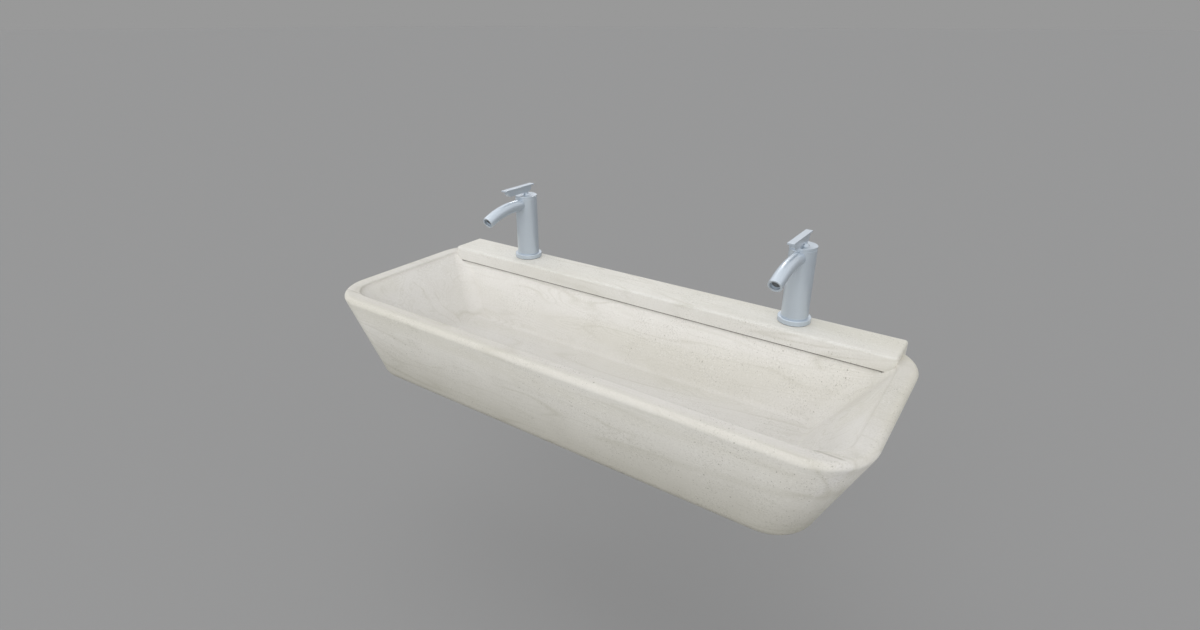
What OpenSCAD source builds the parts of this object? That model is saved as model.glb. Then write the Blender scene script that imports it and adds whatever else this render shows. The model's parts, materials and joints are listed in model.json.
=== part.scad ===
// Wall-hung stone trough sink with a separate tap ledge, two lever taps and a push plug.
// X runs along the trough, +Y into the wall, +Z up. The wall face is y = 0.
// The origin is the centre of the four wall bolt holes in the two hidden brackets.

/* [Basin] */
// Length over the rim
basin_l = 1200; // [1160:10:1300]
// Depth from the wall to the front of the rim
basin_d = 460; // [450:5:500]
// Height from the underside to the rim
basin_h = 200; // [196:2:230]
// Length of the underside
foot_l = 1048; // [1020:4:1100]
// How far the underside is set back from the front of the rim
front_lean = 34; // [20:1:45]
// Plan radius of the rim corners
corner_r = 100; // [90:2:120]
// Plan radius of the underside corners
foot_corner_r = 80; // [60:2:100]
// Radius along the outer edge of the rim
rim_round = 10; // [6:1:14]
// Radius along the bottom edge
foot_round = 26; // [12:1:30]
// Height of the rim above the wall bolt centre
rim_z = 130; // [120:1:150]

/* [Bowl] */
// Width of the rim
rim_w = 36; // [30:1:44]
// Depth of the bowl below the rim
bowl_depth = 143; // [130:1:150]
// Length of the bowl floor
floor_l = 905; // [860:5:940]
// Distance from the wall to the back of the bowl floor
floor_back = 132; // [126:1:150]
// Distance from the front of the rim to the front of the bowl floor
floor_front = 62; // [56:1:80]
// Plan radius of the floor corners
floor_corner_r = 34; // [24:1:50]
// Plan radius of the two back corners at the rim
back_corner_r = 26; // [20:1:40]
// Radius between the floor and the walls
floor_round = 14; // [8:1:20]
// Radius along the inner edge of the rim
edge_round = 5; // [3:1:8]

/* [Ledge] */
// Length of the tap ledge
ledge_l = 1122; // [1100:2:1126]
// Depth of the tap ledge from the wall
ledge_d = 88; // [84:1:96]
// Height of the ledge top above the rim
ledge_rise = 15; // [8:1:20]
// Depth of the ledge seat below the rim
ledge_sink = 21.5; // [18:0.5:26]
// Radius of the ledge's upright corners
ledge_corner_r = 9; // [6:1:14]
// Radius along the ledge's top edge
ledge_round = 6; // [3:1:8]
// Thickness of the bedding under the ledge
bed_t = 1.5; // [1:0.5:3]
// Thickness of stone under the ledge seat
deck_t = 28.5; // [24:0.5:34]

/* [Rear hollow] */
// Length of the hollow behind the bowl
hollow_l = 940; // [920:5:960]
// Depth of the hollow at its top
hollow_top_d = 65; // [64:1:70]
// Depth of the hollow at the underside
hollow_foot_d = 112; // [108:1:118]

/* [Brackets] */
// Distance between the bracket centres
bracket_spacing = 830; // [820:2:836]
// Width of a bracket
bracket_w = 70; // [60:2:76]
// Length of a bracket arm from the wall
arm_l = 365; // [340:5:380]
// Thickness of a bracket arm
arm_t = 10; // [8:0.5:12]
// Thickness of the wall plate
plate_t = 8; // [6:0.5:10]
// Thickness of the side cheeks
cheek_t = 6; // [5:0.5:8]
// Height between the two wall bolts
bolt_rise = 80; // [70:2:90]
// Diameter of the wall bolt holes
wall_hole_d = 13; // [11:0.5:14]
// Thickness of the rubber pads
pad_t = 2; // [1:0.5:4]

/* [Waste] */
// Distance from the wall to the waste
waste_back = 305; // [290:1:320]
// Diameter of the waste flange
waste_flange_d = 66; // [62:1:70]
// Outside diameter of the waste tail thread
waste_tail_d = 41.9; // [40:0.1:42]
// Length of the waste body below its flange
waste_body_l = 84; // [80:1:96]
// Travel of the plug from open to shut
plug_travel = 6.8; // [5:0.1:7]
// Diameter of the plug cap
plug_d = 60; // [54:1:62]

/* [Taps] */
// Distance between the tap centres
tap_spacing = 700; // [680:5:700]
// Distance from the wall to the tap centres
tap_back = 35; // [35:0.5:40]
// Diameter of the base ring
ring_d = 66; // [62:0.5:66]
// Height of the base ring
ring_h = 10; // [8:0.5:11]
// Diameter of the tap body
body_d = 54; // [52:0.5:56]
// Height from the ledge to the top of the cap
tap_h = 160; // [156:1:170]
// Thickness of the cap
cap_t = 5.5; // [5:0.5:6]

/* [Spout] */
// Diameter of the spout
spout_d = 28; // [26:0.5:28]
// Diameter of the spout's bore
spout_bore_d = 20; // [18:0.5:21]
// Length of the straight run from the tap centre
spout_run = 50; // [40:1:60]
// Distance from the tap centre to the spout's mouth
spout_reach = 140; // [120:1:150]
// How far the mouth lies below the straight run
spout_drop = 19.5; // [15:0.5:26]

/* [Lever] */
// Length of the lever plate
lever_l = 104; // [100:1:116]
// Width of the lever plate
lever_w = 14; // [12:0.5:18]
// Thickness of the lever plate
lever_t = 3.5; // [3:0.5:5]
// How far the plate reaches behind the tap centre
lever_tail = 24; // [23:1:28]
// Width of the rib under the plate
rib_w = 11; // [9:0.5:12]
// Height of the rib under the plate
rib_h = 13.5; // [12:0.5:15]
// Height of the rib above the cap
rib_gap = 7; // [6:0.5:9]

/* [Cartridge] */
// Diameter of the ceramic cartridge
cartridge_d = 35; // [34:0.5:35]
// Radius of the ball under the lever
ball_r = 13; // [12.6:0.1:13]
// Depth of the lever's pivot below the top of the cap
pivot_depth = 8; // [7.5:0.1:8]
// Travel of the moving ceramic disc
disc_travel = 5; // [4:0.1:5]

/* [Tap fixing] */
// Diameter of the tap hole in the ledge
tap_hole_d = 35; // [34:0.5:36]
// Diameter of the fixing stud
stud_d = 8; // [6:0.5:8]
// Bore of the two inlet ports
port_d = 9; // [8.6:0.1:9.4]
// Depth of the inlet ports
port_l = 12; // [10:0.5:14]

/* [Hidden] */

stone = "#dcd8ce";
seal_grey = "#8d8d8a";
chrome = "#b4bcc4";
brass = "#c9a75b";
steel = "#9aa0a6";
rubber = "#35363a";
nylon = "#e8e6df";
dark_nylon = "#3a3c40";
ceramic = "#f4f2ec";

hull_fn = 48;
round_fn = 64;
cut = 1;      // overrun of a cutter past a face
skin = 0.02;  // height of a thin slice that a hull starts from
edge_step = 30;  // degrees of edge rounding in one slice
fit = 0.05;   // radial play between a pin and its hole
air = 0.3;    // gap between pieces that turn past each other
ball_air = 0.4;  // gap round the tilting ball

left = -1;
right = 1;

// Basin levels
foot_z = rim_z - basin_h;
floor_z = rim_z - bowl_depth;
seat_z = rim_z - ledge_sink;
hollow_z = seat_z - deck_t;
ledge_z = rim_z + ledge_rise;
seat_gap = 0.5;
ledge_back_r = 3;      // upright back corners of the ledge
ledge_back_round = 2;  // its top edge along the wall
bed_inset = 12;

// Bowl outline at the rim, level with the start of the inner edge's rounding
bowl_l = basin_l - 2 * rim_w;
bowl_front_y = -basin_d + rim_w;
bowl_corner_r = corner_r - rim_w;
ledge_overhang = 4;
back_slope = (floor_back - ledge_d + ledge_overhang) / (bowl_depth - ledge_sink);
bowl_back_y = -ledge_d + ledge_overhang + ledge_sink * back_slope;

// Brackets
bracket_x = bracket_spacing / 2;
cheek_nose_h = 8;
groove_side = 1;
groove_d = arm_t + pad_t;
plate_top_z = 66;
cheek_l = 92;
cheek_top_z = 50;
arm_bolt_ys = [-150, -330];
arm_bolt_d = 8;
arm_bolt_l = 30;
arm_hole_d = 9;
insert_d = 12;
insert_l = 20;
pad_w = 60;
pad_l = 40;
pad_hole_d = 14;
washer_t = 1.6;
washer_r = 8.5;
washer_bore_r = 4.3;
bolt_head_h = 5.3;
bolt_head_af = 13;

// Waste
waste_wall = 2.4;
waste_hole_d = 46;
waste_seal_t = 1;
waste_seal_r = 32;
waste_flange_t = 3;
flange_gap = 1;
waste_recess_d = 110;
waste_recess_h = 20;
waste_washer_t = 3;
waste_washer_r = 30;
waste_washer_play = 0.2;
waste_nut_h = 9;
waste_nut_af = 52;
waste_nut_z = foot_z + waste_recess_h - waste_washer_t - waste_nut_h;
tail_groove_h = 2;     // run-out between the nut's thread and the trap's
tail_groove_in = 0.8;
waste_seat_d = 36;
plug_cap_t = 6;
plug_seal_t = 2;
plug_seal_r = 24;
plug_seal_bore_r = 19;
plug_stop = 0.2;
plug_z = floor_z + plug_travel + plug_seal_t + plug_stop;
plunger_r = 3.5;
plunger_in = 3;
piston_r = 6.2;
piston_h = 3;
piston_gap = 1;
sleeve_r = 8;
sleeve_bore_r = 6.6;
sleeve_top_z = floor_z - 12;
sleeve_foot_z = sleeve_top_z - 30;
sleeve_lid_t = 2;
spider_z = sleeve_foot_z + 6;
spider_h = 8;
spider_r = 11;
spider_arm_w = 4;
arm_root = 1.5;  // how far an arm starts inside the spider's ring
arm_bite = 1;    // how far it runs into the tail's wall
spring_wire_r = 0.6;
spring_r = 5.2;
spring_turns = 4;
spring_steps = 14;
spring_sides = 6;
spring_play = 0.05;
piston_z = sleeve_top_z - sleeve_lid_t - piston_h - piston_gap;
spring_foot_z = sleeve_foot_z + sleeve_lid_t + spring_play;
spring_h = piston_z - spring_foot_z - 2 * spring_play;

// Tap levels, measured from the ledge top
tap_x = tap_spacing / 2;
base_seal_t = 1;
base_seal_inset = 1.5;
ring_bevel = 1.2;
ring_top = base_seal_t + ring_h;
spigot_d = 46;
cap_z = tap_h - cap_t;
cap_shadow = 0.8;
cap_bevel = 0.8;
cap_lip_h = 2;
cap_lip_bore_r = 16;
pivot_z = tap_h - pivot_depth;
nut_h = 4.5;
nut_z = cap_z - cap_lip_h - nut_h;
nut_r = 20;
nut_bore_r = 14;
base_h = 6;
disc_h = 4;
cartridge_h = 24;
cartridge_z = nut_z - cartridge_h;
cartridge_r = cartridge_d / 2;
housing_bore_r = 15;
housing_lid_t = 2;
housing_hole_r = 12;
fixed_disc_z = cartridge_z + base_h;
moving_disc_z = fixed_disc_z + disc_h;
carrier_play = 0.2;
carrier_z = moving_disc_z + disc_h + carrier_play;
carrier_top = nut_z - housing_lid_t - air;
fixed_disc_r = 14;
moving_disc_r = 9.5;
carrier_r = housing_bore_r - air;
neck_r = 6;
neck_top = pivot_z + 4;
pin_r = 1.5;
pin_l = 11.4;
spindle_w = 5;
spindle_slot_w = 5.6;
spindle_slot_l = 16;
pocket_l = 8;
pocket_h = 2;
spindle_dip = 1.4;
spindle_foot = moving_disc_z + disc_h - spindle_dip;
spindle_top = pivot_z + 12.5;
dome_foot = pivot_z + 1.5;
hub_socket_r = 8.5;
hub_roof = pivot_z + 7.5;
hub_neck_r = 6.5;
hub_spigot_r = 4;
hub_spigot_l = 7;
rib_z = tap_h + rib_gap;
plate_z = rib_z + rib_h;
screw_d = 4;
screw_l = 5;
screw_z = rib_z + hub_spigot_l / 2;
key_af = 2;
lever_front = lever_l - lever_tail;
nose_top = 12;     // how far the rib's nose starts behind the front of the plate
nose_foot = 16;    // where the nose meets the rib's lower edge
rib_heel_y = 8;    // end of the rib's lower edge
rib_heel_z = 7;    // top of its sloped heel
rib_tail = 9;      // how far the rib stops before the back of the plate

// Spout: a straight run, then an arc that falls to the mouth
spout_z = 139;
socket_y = 21.5;
spout_step = 0.1;  // the straight run is this much slimmer and wider bored than the bend
bend_run = spout_reach - spout_run;
bend_angle = 2 * atan(spout_drop / bend_run);
bend_r = bend_run / sin(bend_angle);
aerator_l = 6;
aerator_inset = 6;
aerator_bore_r = 8;
insert_t = 4;
jet_r = 1.2;
jet_ring_r = 4.8;
insert_inset = 1;
thread_play = 0.3;

// Waterways in the tap body
chamber_r = 23.5;
chamber_core_r = 19.6;
chamber_drop = 10;
chamber_roof = 2;
chamber_z = cartridge_z - chamber_drop;
chamber_h = nut_z - chamber_roof - chamber_z;
channel_r = 3;
way_r = 4;
port_x = 7.5;
port_y = -5;
stud_y = 11;
stud_in = 12;

// Tap clamp under the basin's deck
clamp_z = hollow_z - ledge_z;
clamp_r = 24;
clamp_slot_w = 30;
clamp_slot_y = 4;
clamp_gasket_t = 3;
clamp_plate_t = 2.5;
stud_nut_h = 8;
stud_nut_af = 13;
stud_tail = 14;

// ---------- outlines ----------

// Four posts at the corners of a rectangle whose front corners and back corners differ
module corner_posts(half_l, front_y, back_y, front_r, back_r, z)
{
    for (side = [left, right])
    {
        translate([side * (half_l - front_r), front_y + front_r, z])
            cylinder(r = front_r, h = skin, $fn = hull_fn);
        translate([side * (half_l - back_r), back_y - back_r, z])
            cylinder(r = back_r, h = skin, $fn = hull_fn);
    }
}

// Four rings at the corners of a rectangle, for an edge of radius edge_r
module corner_rings(half_l, front_y, back_y, plan_r, edge_r, z)
{
    for (side = [left, right], y = [front_y + plan_r, back_y - plan_r])
        translate([side * (half_l - plan_r), y, z])
            rotate_extrude($fn = hull_fn)
                translate([plan_r - edge_r, 0])
                    circle(r = edge_r, $fn = hull_fn);
}

// The bowl's outline along the rounded inner edge: 0 degrees at its foot, 90 at the rim
module edge_slice(turn)
{
    grow = edge_round * (1 - cos(turn));
    corner_posts(bowl_l / 2 + grow, bowl_front_y - grow, bowl_back_y + grow,
        bowl_corner_r + grow, back_corner_r + grow, rim_z - edge_round * (1 - sin(turn)));
}

module tube(r, bore_r, h)
{
    difference()
    {
        cylinder(r = r, h = h, $fn = round_fn);
        translate([0, 0, -cut])
            cylinder(r = bore_r, h = h + 2 * cut, $fn = round_fn);
    }
}

module hex_prism(across_flats, h)
{
    cylinder(d = across_flats / cos(30), h = h, $fn = 6);
}

// ---------- stone ----------

module basin_block()
{
    hull()
    {
        corner_rings(basin_l / 2, -basin_d, 0, corner_r, rim_round, rim_z - rim_round);
        corner_rings(foot_l / 2, -basin_d + front_lean, 0, foot_corner_r, foot_round,
            foot_z + foot_round);
    }
}

module bowl_space()
{
    hull()
    {
        edge_slice(0);
        corner_rings(floor_l / 2, -basin_d + floor_front, -floor_back, floor_corner_r,
            floor_round, floor_z + floor_round);
    }
    for (turn = [0 : edge_step : 90 - edge_step])
        hull()
        {
            edge_slice(turn);
            edge_slice(turn + edge_step);
        }
}

// Seat for the ledge, open to the bowl, to the wall and upwards
module ledge_seat()
{
    seat_l = ledge_l + 2 * seat_gap;
    translate([-seat_l / 2, -ledge_d - seat_gap, seat_z])
        cube([seat_l, ledge_d + seat_gap + cut, ledge_sink + cut]);
}

// Hollow behind the bowl for the tap tails and the brackets, open at the back and below
module rear_hollow()
{
    fall = hollow_z - foot_z;
    over = (hollow_foot_d - hollow_top_d) / fall * cut;
    translate([-hollow_l / 2, 0, 0])
        rotate([90, 0, 90])
            linear_extrude(height = hollow_l)
                polygon([[cut, hollow_z], [-hollow_top_d, hollow_z],
                    [-hollow_foot_d - over, foot_z - cut], [cut, foot_z - cut]]);
}

module basin()
{
    color(stone)
        difference()
        {
            basin_block();
            bowl_space();
            ledge_seat();
            rear_hollow();
            for (side = [left, right])
            {
                translate([side * tap_x, -tap_back, hollow_z - cut])
                    cylinder(d = tap_hole_d, h = deck_t + 2 * cut, $fn = round_fn);
                translate([side * bracket_x - bracket_w / 2 - groove_side, -arm_l - groove_side,
                    foot_z - cut])
                    cube([bracket_w + 2 * groove_side, arm_l, groove_d + cut]);
                for (y = arm_bolt_ys)
                    translate([side * bracket_x, y, foot_z])
                        cylinder(d = insert_d + 2 * fit, h = groove_d + insert_l + cut, $fn = round_fn);
            }
            translate([0, -waste_back, foot_z - cut])
                cylinder(d = waste_hole_d, h = basin_h, $fn = round_fn);
            translate([0, -waste_back, foot_z - cut])
                cylinder(d = waste_recess_d, h = waste_recess_h + cut, $fn = round_fn);
            translate([0, -waste_back, floor_z - waste_flange_t - waste_seal_t])
                cylinder(d = waste_flange_d + 2 * flange_gap, h = basin_h, $fn = round_fn);
        }
}

// Upright corner of the ledge, rounded over at the top
module ledge_corner(r, edge_r)
{
    translate([0, 0, seat_z + bed_t])
        cylinder(r = r, h = skin, $fn = hull_fn);
    translate([0, 0, ledge_z - edge_r])
        rotate_extrude($fn = hull_fn)
            translate([r - edge_r, 0])
                intersection()
                {
                    circle(r = edge_r, $fn = hull_fn);
                    square(edge_r);
                }
}

module ledge()
{
    color(stone)
        difference()
        {
            hull()
                for (side = [left, right])
                {
                    translate([side * (ledge_l / 2 - ledge_corner_r), -ledge_d + ledge_corner_r, 0])
                        ledge_corner(ledge_corner_r, ledge_round);
                    translate([side * (ledge_l / 2 - ledge_back_r), -ledge_back_r, 0])
                        ledge_corner(ledge_back_r, ledge_back_round);
                }
            for (side = [left, right])
                translate([side * tap_x, -tap_back, seat_z])
                    cylinder(d = tap_hole_d, h = basin_h, $fn = round_fn);
        }
}

module ledge_bed()
{
    color(seal_grey)
        difference()
        {
            translate([-ledge_l / 2 + bed_inset, -ledge_d + bed_inset, seat_z])
                cube([ledge_l - 2 * bed_inset, ledge_d - 2 * bed_inset, bed_t]);
            for (side = [left, right])
                translate([side * tap_x, -tap_back, seat_z - cut])
                    cylinder(d = tap_hole_d, h = bed_t + 2 * cut, $fn = round_fn);
        }
}

// ---------- brackets ----------

module cheek()
{
    translate([0, 0, foot_z])
        rotate([90, 0, 90])
            linear_extrude(height = cheek_t)
                polygon([[-plate_t, arm_t], [-plate_t - cheek_l, arm_t],
                    [-plate_t - cheek_l, arm_t + cheek_nose_h], [-plate_t, cheek_top_z - foot_z]]);
}

module bracket(side)
{
    color(steel)
        translate([side * bracket_x, 0, 0])
            difference()
            {
                union()
                {
                    translate([-bracket_w / 2, -plate_t, foot_z])
                        cube([bracket_w, plate_t, plate_top_z - foot_z]);
                    translate([-bracket_w / 2, -arm_l, foot_z])
                        cube([bracket_w, arm_l, arm_t]);
                    translate([-bracket_w / 2, 0, 0])
                        cheek();
                    translate([bracket_w / 2 - cheek_t, 0, 0])
                        cheek();
                }
                for (z = [-bolt_rise / 2, bolt_rise / 2])
                    translate([0, cut, z])
                        rotate([90, 0, 0])
                            cylinder(d = wall_hole_d, h = plate_t + 2 * cut, $fn = round_fn);
                for (y = arm_bolt_ys)
                    translate([0, y, foot_z - cut])
                        cylinder(d = arm_hole_d, h = arm_t + 2 * cut, $fn = round_fn);
            }
}

// Places a copy at each of the four bolts through the bracket arms
module at_arm_bolts()
{
    for (side = [left, right], y = arm_bolt_ys)
        translate([side * bracket_x, y, foot_z])
            children();
}

module bracket_pads()
{
    color(rubber)
        at_arm_bolts()
            difference()
            {
                translate([-pad_w / 2, -pad_l / 2, arm_t])
                    cube([pad_w, pad_l, pad_t]);
                cylinder(d = pad_hole_d, h = basin_h, $fn = round_fn);
            }
}

module bracket_inserts()
{
    color(brass)
        at_arm_bolts()
            translate([0, 0, groove_d])
                tube(insert_d / 2, arm_bolt_d / 2 + fit, insert_l);
}

module bracket_bolts()
{
    color(steel)
        at_arm_bolts()
        {
            translate([0, 0, -washer_t - bolt_head_h])
                hex_prism(bolt_head_af, bolt_head_h);
            translate([0, 0, -washer_t - bolt_head_h / 2])
                cylinder(d = arm_bolt_d, h = arm_bolt_l, $fn = round_fn);
        }
}

module bracket_washers()
{
    color(steel)
        at_arm_bolts()
            translate([0, 0, -washer_t])
                tube(washer_r, washer_bore_r, washer_t);
}

// ---------- waste and plug ----------

module at_waste()
{
    translate([0, -waste_back, 0])
        children();
}

module waste_body()
{
    flange_z = floor_z - waste_flange_t;
    tail_z = flange_z - waste_body_l;
    bore_r = waste_tail_d / 2 - waste_wall;
    color(chrome)
        at_waste()
        {
            difference()
            {
                union()
                {
                    translate([0, 0, flange_z])
                        cylinder(d = waste_flange_d, h = waste_flange_t, $fn = round_fn);
                    translate([0, 0, tail_z])
                        cylinder(d = waste_tail_d, h = waste_body_l + cut, $fn = round_fn);
                }
                translate([0, 0, tail_z - cut])
                    cylinder(r = bore_r, h = waste_body_l, $fn = round_fn);
                translate([0, 0, flange_z - cut])
                    cylinder(d = waste_seat_d, h = waste_flange_t + 2 * cut, $fn = round_fn);
                translate([0, 0, waste_nut_z - tail_groove_h])
                    tube(waste_flange_d / 2, waste_tail_d / 2 - tail_groove_in, tail_groove_h);
            }
            translate([0, 0, spider_z])
            {
                tube(spider_r, sleeve_r + fit, spider_h);
                for (turn = [0 : 120 : 240])
                    rotate([0, 0, turn])
                        translate([spider_r - arm_root, -spider_arm_w / 2, 0])
                            cube([bore_r + arm_bite - spider_r + arm_root, spider_arm_w, spider_h]);
            }
        }
}

module waste_seal()
{
    color(rubber)
        at_waste()
            translate([0, 0, floor_z - waste_flange_t - waste_seal_t])
                tube(waste_seal_r, waste_hole_d / 2, waste_seal_t);
}

module waste_washer()
{
    color(rubber)
        at_waste()
            translate([0, 0, foot_z + waste_recess_h - waste_washer_t])
                tube(waste_washer_r, waste_tail_d / 2 + waste_washer_play, waste_washer_t);
}

module waste_nut()
{
    color(brass)
        at_waste()
            translate([0, 0, waste_nut_z])
                difference()
                {
                    hex_prism(waste_nut_af, waste_nut_h);
                    translate([0, 0, -cut])
                        cylinder(d = waste_tail_d + 2 * fit, h = waste_nut_h + 2 * cut, $fn = round_fn);
                }
}

module plug_sleeve()
{
    color(nylon)
        at_waste()
            difference()
            {
                translate([0, 0, sleeve_foot_z])
                    cylinder(r = sleeve_r, h = sleeve_top_z - sleeve_foot_z, $fn = round_fn);
                translate([0, 0, sleeve_foot_z + sleeve_lid_t])
                    cylinder(r = sleeve_bore_r, h = sleeve_top_z - sleeve_foot_z - 2 * sleeve_lid_t,
                        $fn = round_fn);
                translate([0, 0, sleeve_top_z - sleeve_lid_t - cut])
                    cylinder(r = plunger_r + fit, h = sleeve_lid_t + 2 * cut, $fn = round_fn);
            }
}

// Points of one wire section, i steps along the coil
function coil_ring(i) =
    let (turn = 360 * i / spring_steps,
        rise = spring_wire_r + (spring_h - 2 * spring_wire_r) * i / (spring_turns * spring_steps))
    [for (k = [0 : spring_sides - 1])
        let (out = spring_r + spring_wire_r * cos(360 * k / spring_sides))
        [out * cos(turn), out * sin(turn), rise + spring_wire_r * sin(360 * k / spring_sides)]];

module plug_spring()
{
    last = spring_turns * spring_steps;
    n = spring_sides;
    points = [for (i = [0 : last]) each coil_ring(i)];
    walls = [for (i = [0 : last - 1], k = [0 : n - 1])
        let (a = i * n + k, b = i * n + (k + 1) % n)
        each [[a, b, a + n], [b, b + n, a + n]]];
    first_cap = [for (k = [1 : n - 2]) [0, k + 1, k]];
    last_cap = [for (k = [1 : n - 2]) [last * n, last * n + k, last * n + k + 1]];
    color(steel)
        at_waste()
            translate([0, 0, spring_foot_z])
                polyhedron(points, concat(walls, first_cap, last_cap));
}

module plug_plunger()
{
    color(brass)
        at_waste()
        {
            translate([0, 0, piston_z])
                cylinder(r = piston_r, h = piston_h, $fn = round_fn);
            translate([0, 0, piston_z])
                cylinder(r = plunger_r, h = plug_z + plunger_in - piston_z, $fn = round_fn);
        }
}

module plug_cap()
{
    r = plug_d / 2;
    color(chrome)
        at_waste()
            difference()
            {
                translate([0, 0, plug_z])
                    rotate_extrude($fn = round_fn)
                        polygon([[0, 0], [r - 1, 0], [r, 1], [r, 2.5], [r - 2, 4],
                            [r - 10, 5.2], [0, plug_cap_t]]);
                translate([0, 0, plug_z - cut])
                    cylinder(r = plunger_r + fit, h = plunger_in + cut + fit, $fn = round_fn);
            }
}

module plug_seal()
{
    color(rubber)
        at_waste()
            translate([0, 0, plug_z - plug_seal_t])
                tube(plug_seal_r, plug_seal_bore_r, plug_seal_t);
}

// ---------- taps: every piece is drawn round the tap centre, from the ledge top up ----------

module at_tap(side)
{
    translate([side * tap_x, -tap_back, ledge_z])
        children();
}

module at_both_taps()
{
    for (side = [left, right])
        at_tap(side)
            children();
}

module tap_base_seals()
{
    color(rubber)
        at_both_taps()
            tube(ring_d / 2 - base_seal_inset, tap_hole_d / 2, base_seal_t);
}

module base_ring()
{
    r = ring_d / 2;
    bore = spigot_d / 2 + fit;
    color(chrome)
        translate([0, 0, base_seal_t])
            rotate_extrude($fn = round_fn)
                polygon([[bore, 0], [r, 0], [r, ring_h - ring_bevel],
                    [r - ring_bevel / 3, ring_h - ring_bevel / 3], [r - ring_bevel, ring_h],
                    [bore, ring_h]]);
}

module tap_body()
{
    color(chrome)
        difference()
        {
            union()
            {
                translate([0, 0, base_seal_t])
                    cylinder(d = spigot_d, h = ring_h + cut, $fn = round_fn);
                translate([0, 0, ring_top])
                    cylinder(d = body_d, h = cap_z - cap_shadow - ring_top, $fn = round_fn);
                translate([0, 0, ring_top])
                    cylinder(d = body_d - 2 * cap_shadow, h = cap_z - ring_top, $fn = round_fn);
            }
            translate([0, 0, cartridge_z])
                cylinder(r = cartridge_r + fit, h = tap_h, $fn = round_fn);
            translate([0, 0, nut_z])
                cylinder(r = nut_r + fit, h = tap_h, $fn = round_fn);
            translate([0, 0, chamber_z])
                tube(chamber_r, chamber_core_r, chamber_h);
            translate([0, -socket_y, spout_z])
                rotate([90, 0, 0])
                    cylinder(d = spout_d + 2 * fit, h = body_d, $fn = round_fn);
            translate([0, 0, chamber_z + way_r])
                rotate([90, 0, 0])
                    cylinder(r = way_r, h = chamber_r - cut, $fn = round_fn);
            translate([0, 0, chamber_z + way_r])
                cylinder(r = channel_r, h = cartridge_z - chamber_z, $fn = round_fn);
            for (side = [left, right])
                translate([side * port_x, port_y, 0])
                {
                    cylinder(d = port_d, h = base_seal_t + port_l, $fn = round_fn);
                    cylinder(r = channel_r, h = cartridge_z + cut, $fn = round_fn);
                }
            translate([0, stud_y, 0])
                cylinder(d = stud_d + 2 * fit, h = base_seal_t + stud_in, $fn = round_fn);
        }
}

// Centre of the spout's bend, turned so that the tube runs forward and down
module spout_bend(d, angle)
{
    translate([0, -spout_run, spout_z - bend_r])
        rotate([0, -90, 180])
            rotate_extrude(angle = angle, $fn = round_fn)
                translate([bend_r, 0])
                    circle(d = d, $fn = round_fn);
}

module spout()
{
    color(chrome)
        difference()
        {
            union()
            {
                translate([0, -socket_y - fit, spout_z])
                    rotate([90, 0, 0])
                        cylinder(d = spout_d - spout_step, h = spout_run - socket_y + cut,
                            $fn = round_fn);
                spout_bend(spout_d, bend_angle);
            }
            translate([0, 0, spout_z])
                rotate([90, 0, 0])
                    cylinder(d = spout_bore_d + spout_step, h = spout_run + cut / 2, $fn = round_fn);
            spout_bend(spout_bore_d, bend_angle + cut);
        }
}

// The spout's mouth: z points out of the tube
module at_mouth()
{
    translate([0, -spout_run, spout_z - bend_r])
        rotate([bend_angle, 0, 0])
            translate([0, 0, bend_r])
                rotate([90, 0, 0])
                    children();
}

module aerator_housing()
{
    color(chrome)
        at_mouth()
            translate([0, 0, -aerator_inset - aerator_l])
                tube(spout_bore_d / 2 - thread_play, aerator_bore_r, aerator_l);
}

module aerator_insert()
{
    color(dark_nylon)
        at_mouth()
            translate([0, 0, -aerator_inset - insert_t - insert_inset])
                difference()
                {
                    cylinder(r = aerator_bore_r - fit, h = insert_t, $fn = round_fn);
                    translate([0, 0, -cut])
                        cylinder(r = jet_r, h = insert_t + 2 * cut, $fn = round_fn);
                    for (turn = [0 : 60 : 300])
                        rotate([0, 0, turn])
                            translate([jet_ring_r, 0, -cut])
                                cylinder(r = jet_r, h = insert_t + 2 * cut, $fn = round_fn);
                }
}

module tap_cap()
{
    r = body_d / 2;
    color(chrome)
        difference()
        {
            union()
            {
                translate([0, 0, cap_z])
                    rotate_extrude($fn = round_fn)
                        polygon([[0, 0], [r, 0], [r, cap_t - cap_bevel],
                            [r - cap_bevel, cap_t], [0, cap_t]]);
                translate([0, 0, cap_z - cap_lip_h])
                    cylinder(r = nut_r - fit, h = cap_lip_h + cap_bevel, $fn = round_fn);
            }
            translate([0, 0, cap_z - cap_lip_h - cut])
                cylinder(r = cap_lip_bore_r, h = cap_lip_h + cut, $fn = round_fn);
            translate([0, 0, pivot_z])
                sphere(r = ball_r + ball_air, $fn = round_fn);
        }
}

// Two inlets and an outlet through the cartridge base and the fixed disc
module disc_ways(h)
{
    for (side = [left, right])
        translate([side * port_x, port_y, -cut])
            cylinder(r = channel_r, h = h + 2 * cut, $fn = round_fn);
    translate([0, 0, -cut])
        cylinder(r = channel_r, h = h + 2 * cut, $fn = round_fn);
}

module cartridge_base()
{
    color(nylon)
        translate([0, 0, cartridge_z])
            difference()
            {
                cylinder(r = cartridge_r, h = base_h, $fn = round_fn);
                disc_ways(base_h);
            }
}

module cartridge_housing()
{
    housing_h = nut_z - fixed_disc_z;
    color(nylon)
        translate([0, 0, fixed_disc_z])
            difference()
            {
                cylinder(r = cartridge_r, h = housing_h, $fn = round_fn);
                translate([0, 0, -cut])
                    cylinder(r = housing_bore_r, h = housing_h - housing_lid_t + cut, $fn = round_fn);
                cylinder(r = housing_hole_r, h = housing_h + cut, $fn = round_fn);
            }
}

module cartridge_nut()
{
    color(brass)
        translate([0, 0, nut_z])
            tube(nut_r, nut_bore_r, nut_h);
}

module fixed_disc()
{
    color(ceramic)
        translate([0, 0, fixed_disc_z])
            difference()
            {
                cylinder(r = fixed_disc_r, h = disc_h, $fn = round_fn);
                disc_ways(disc_h);
            }
}

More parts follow.
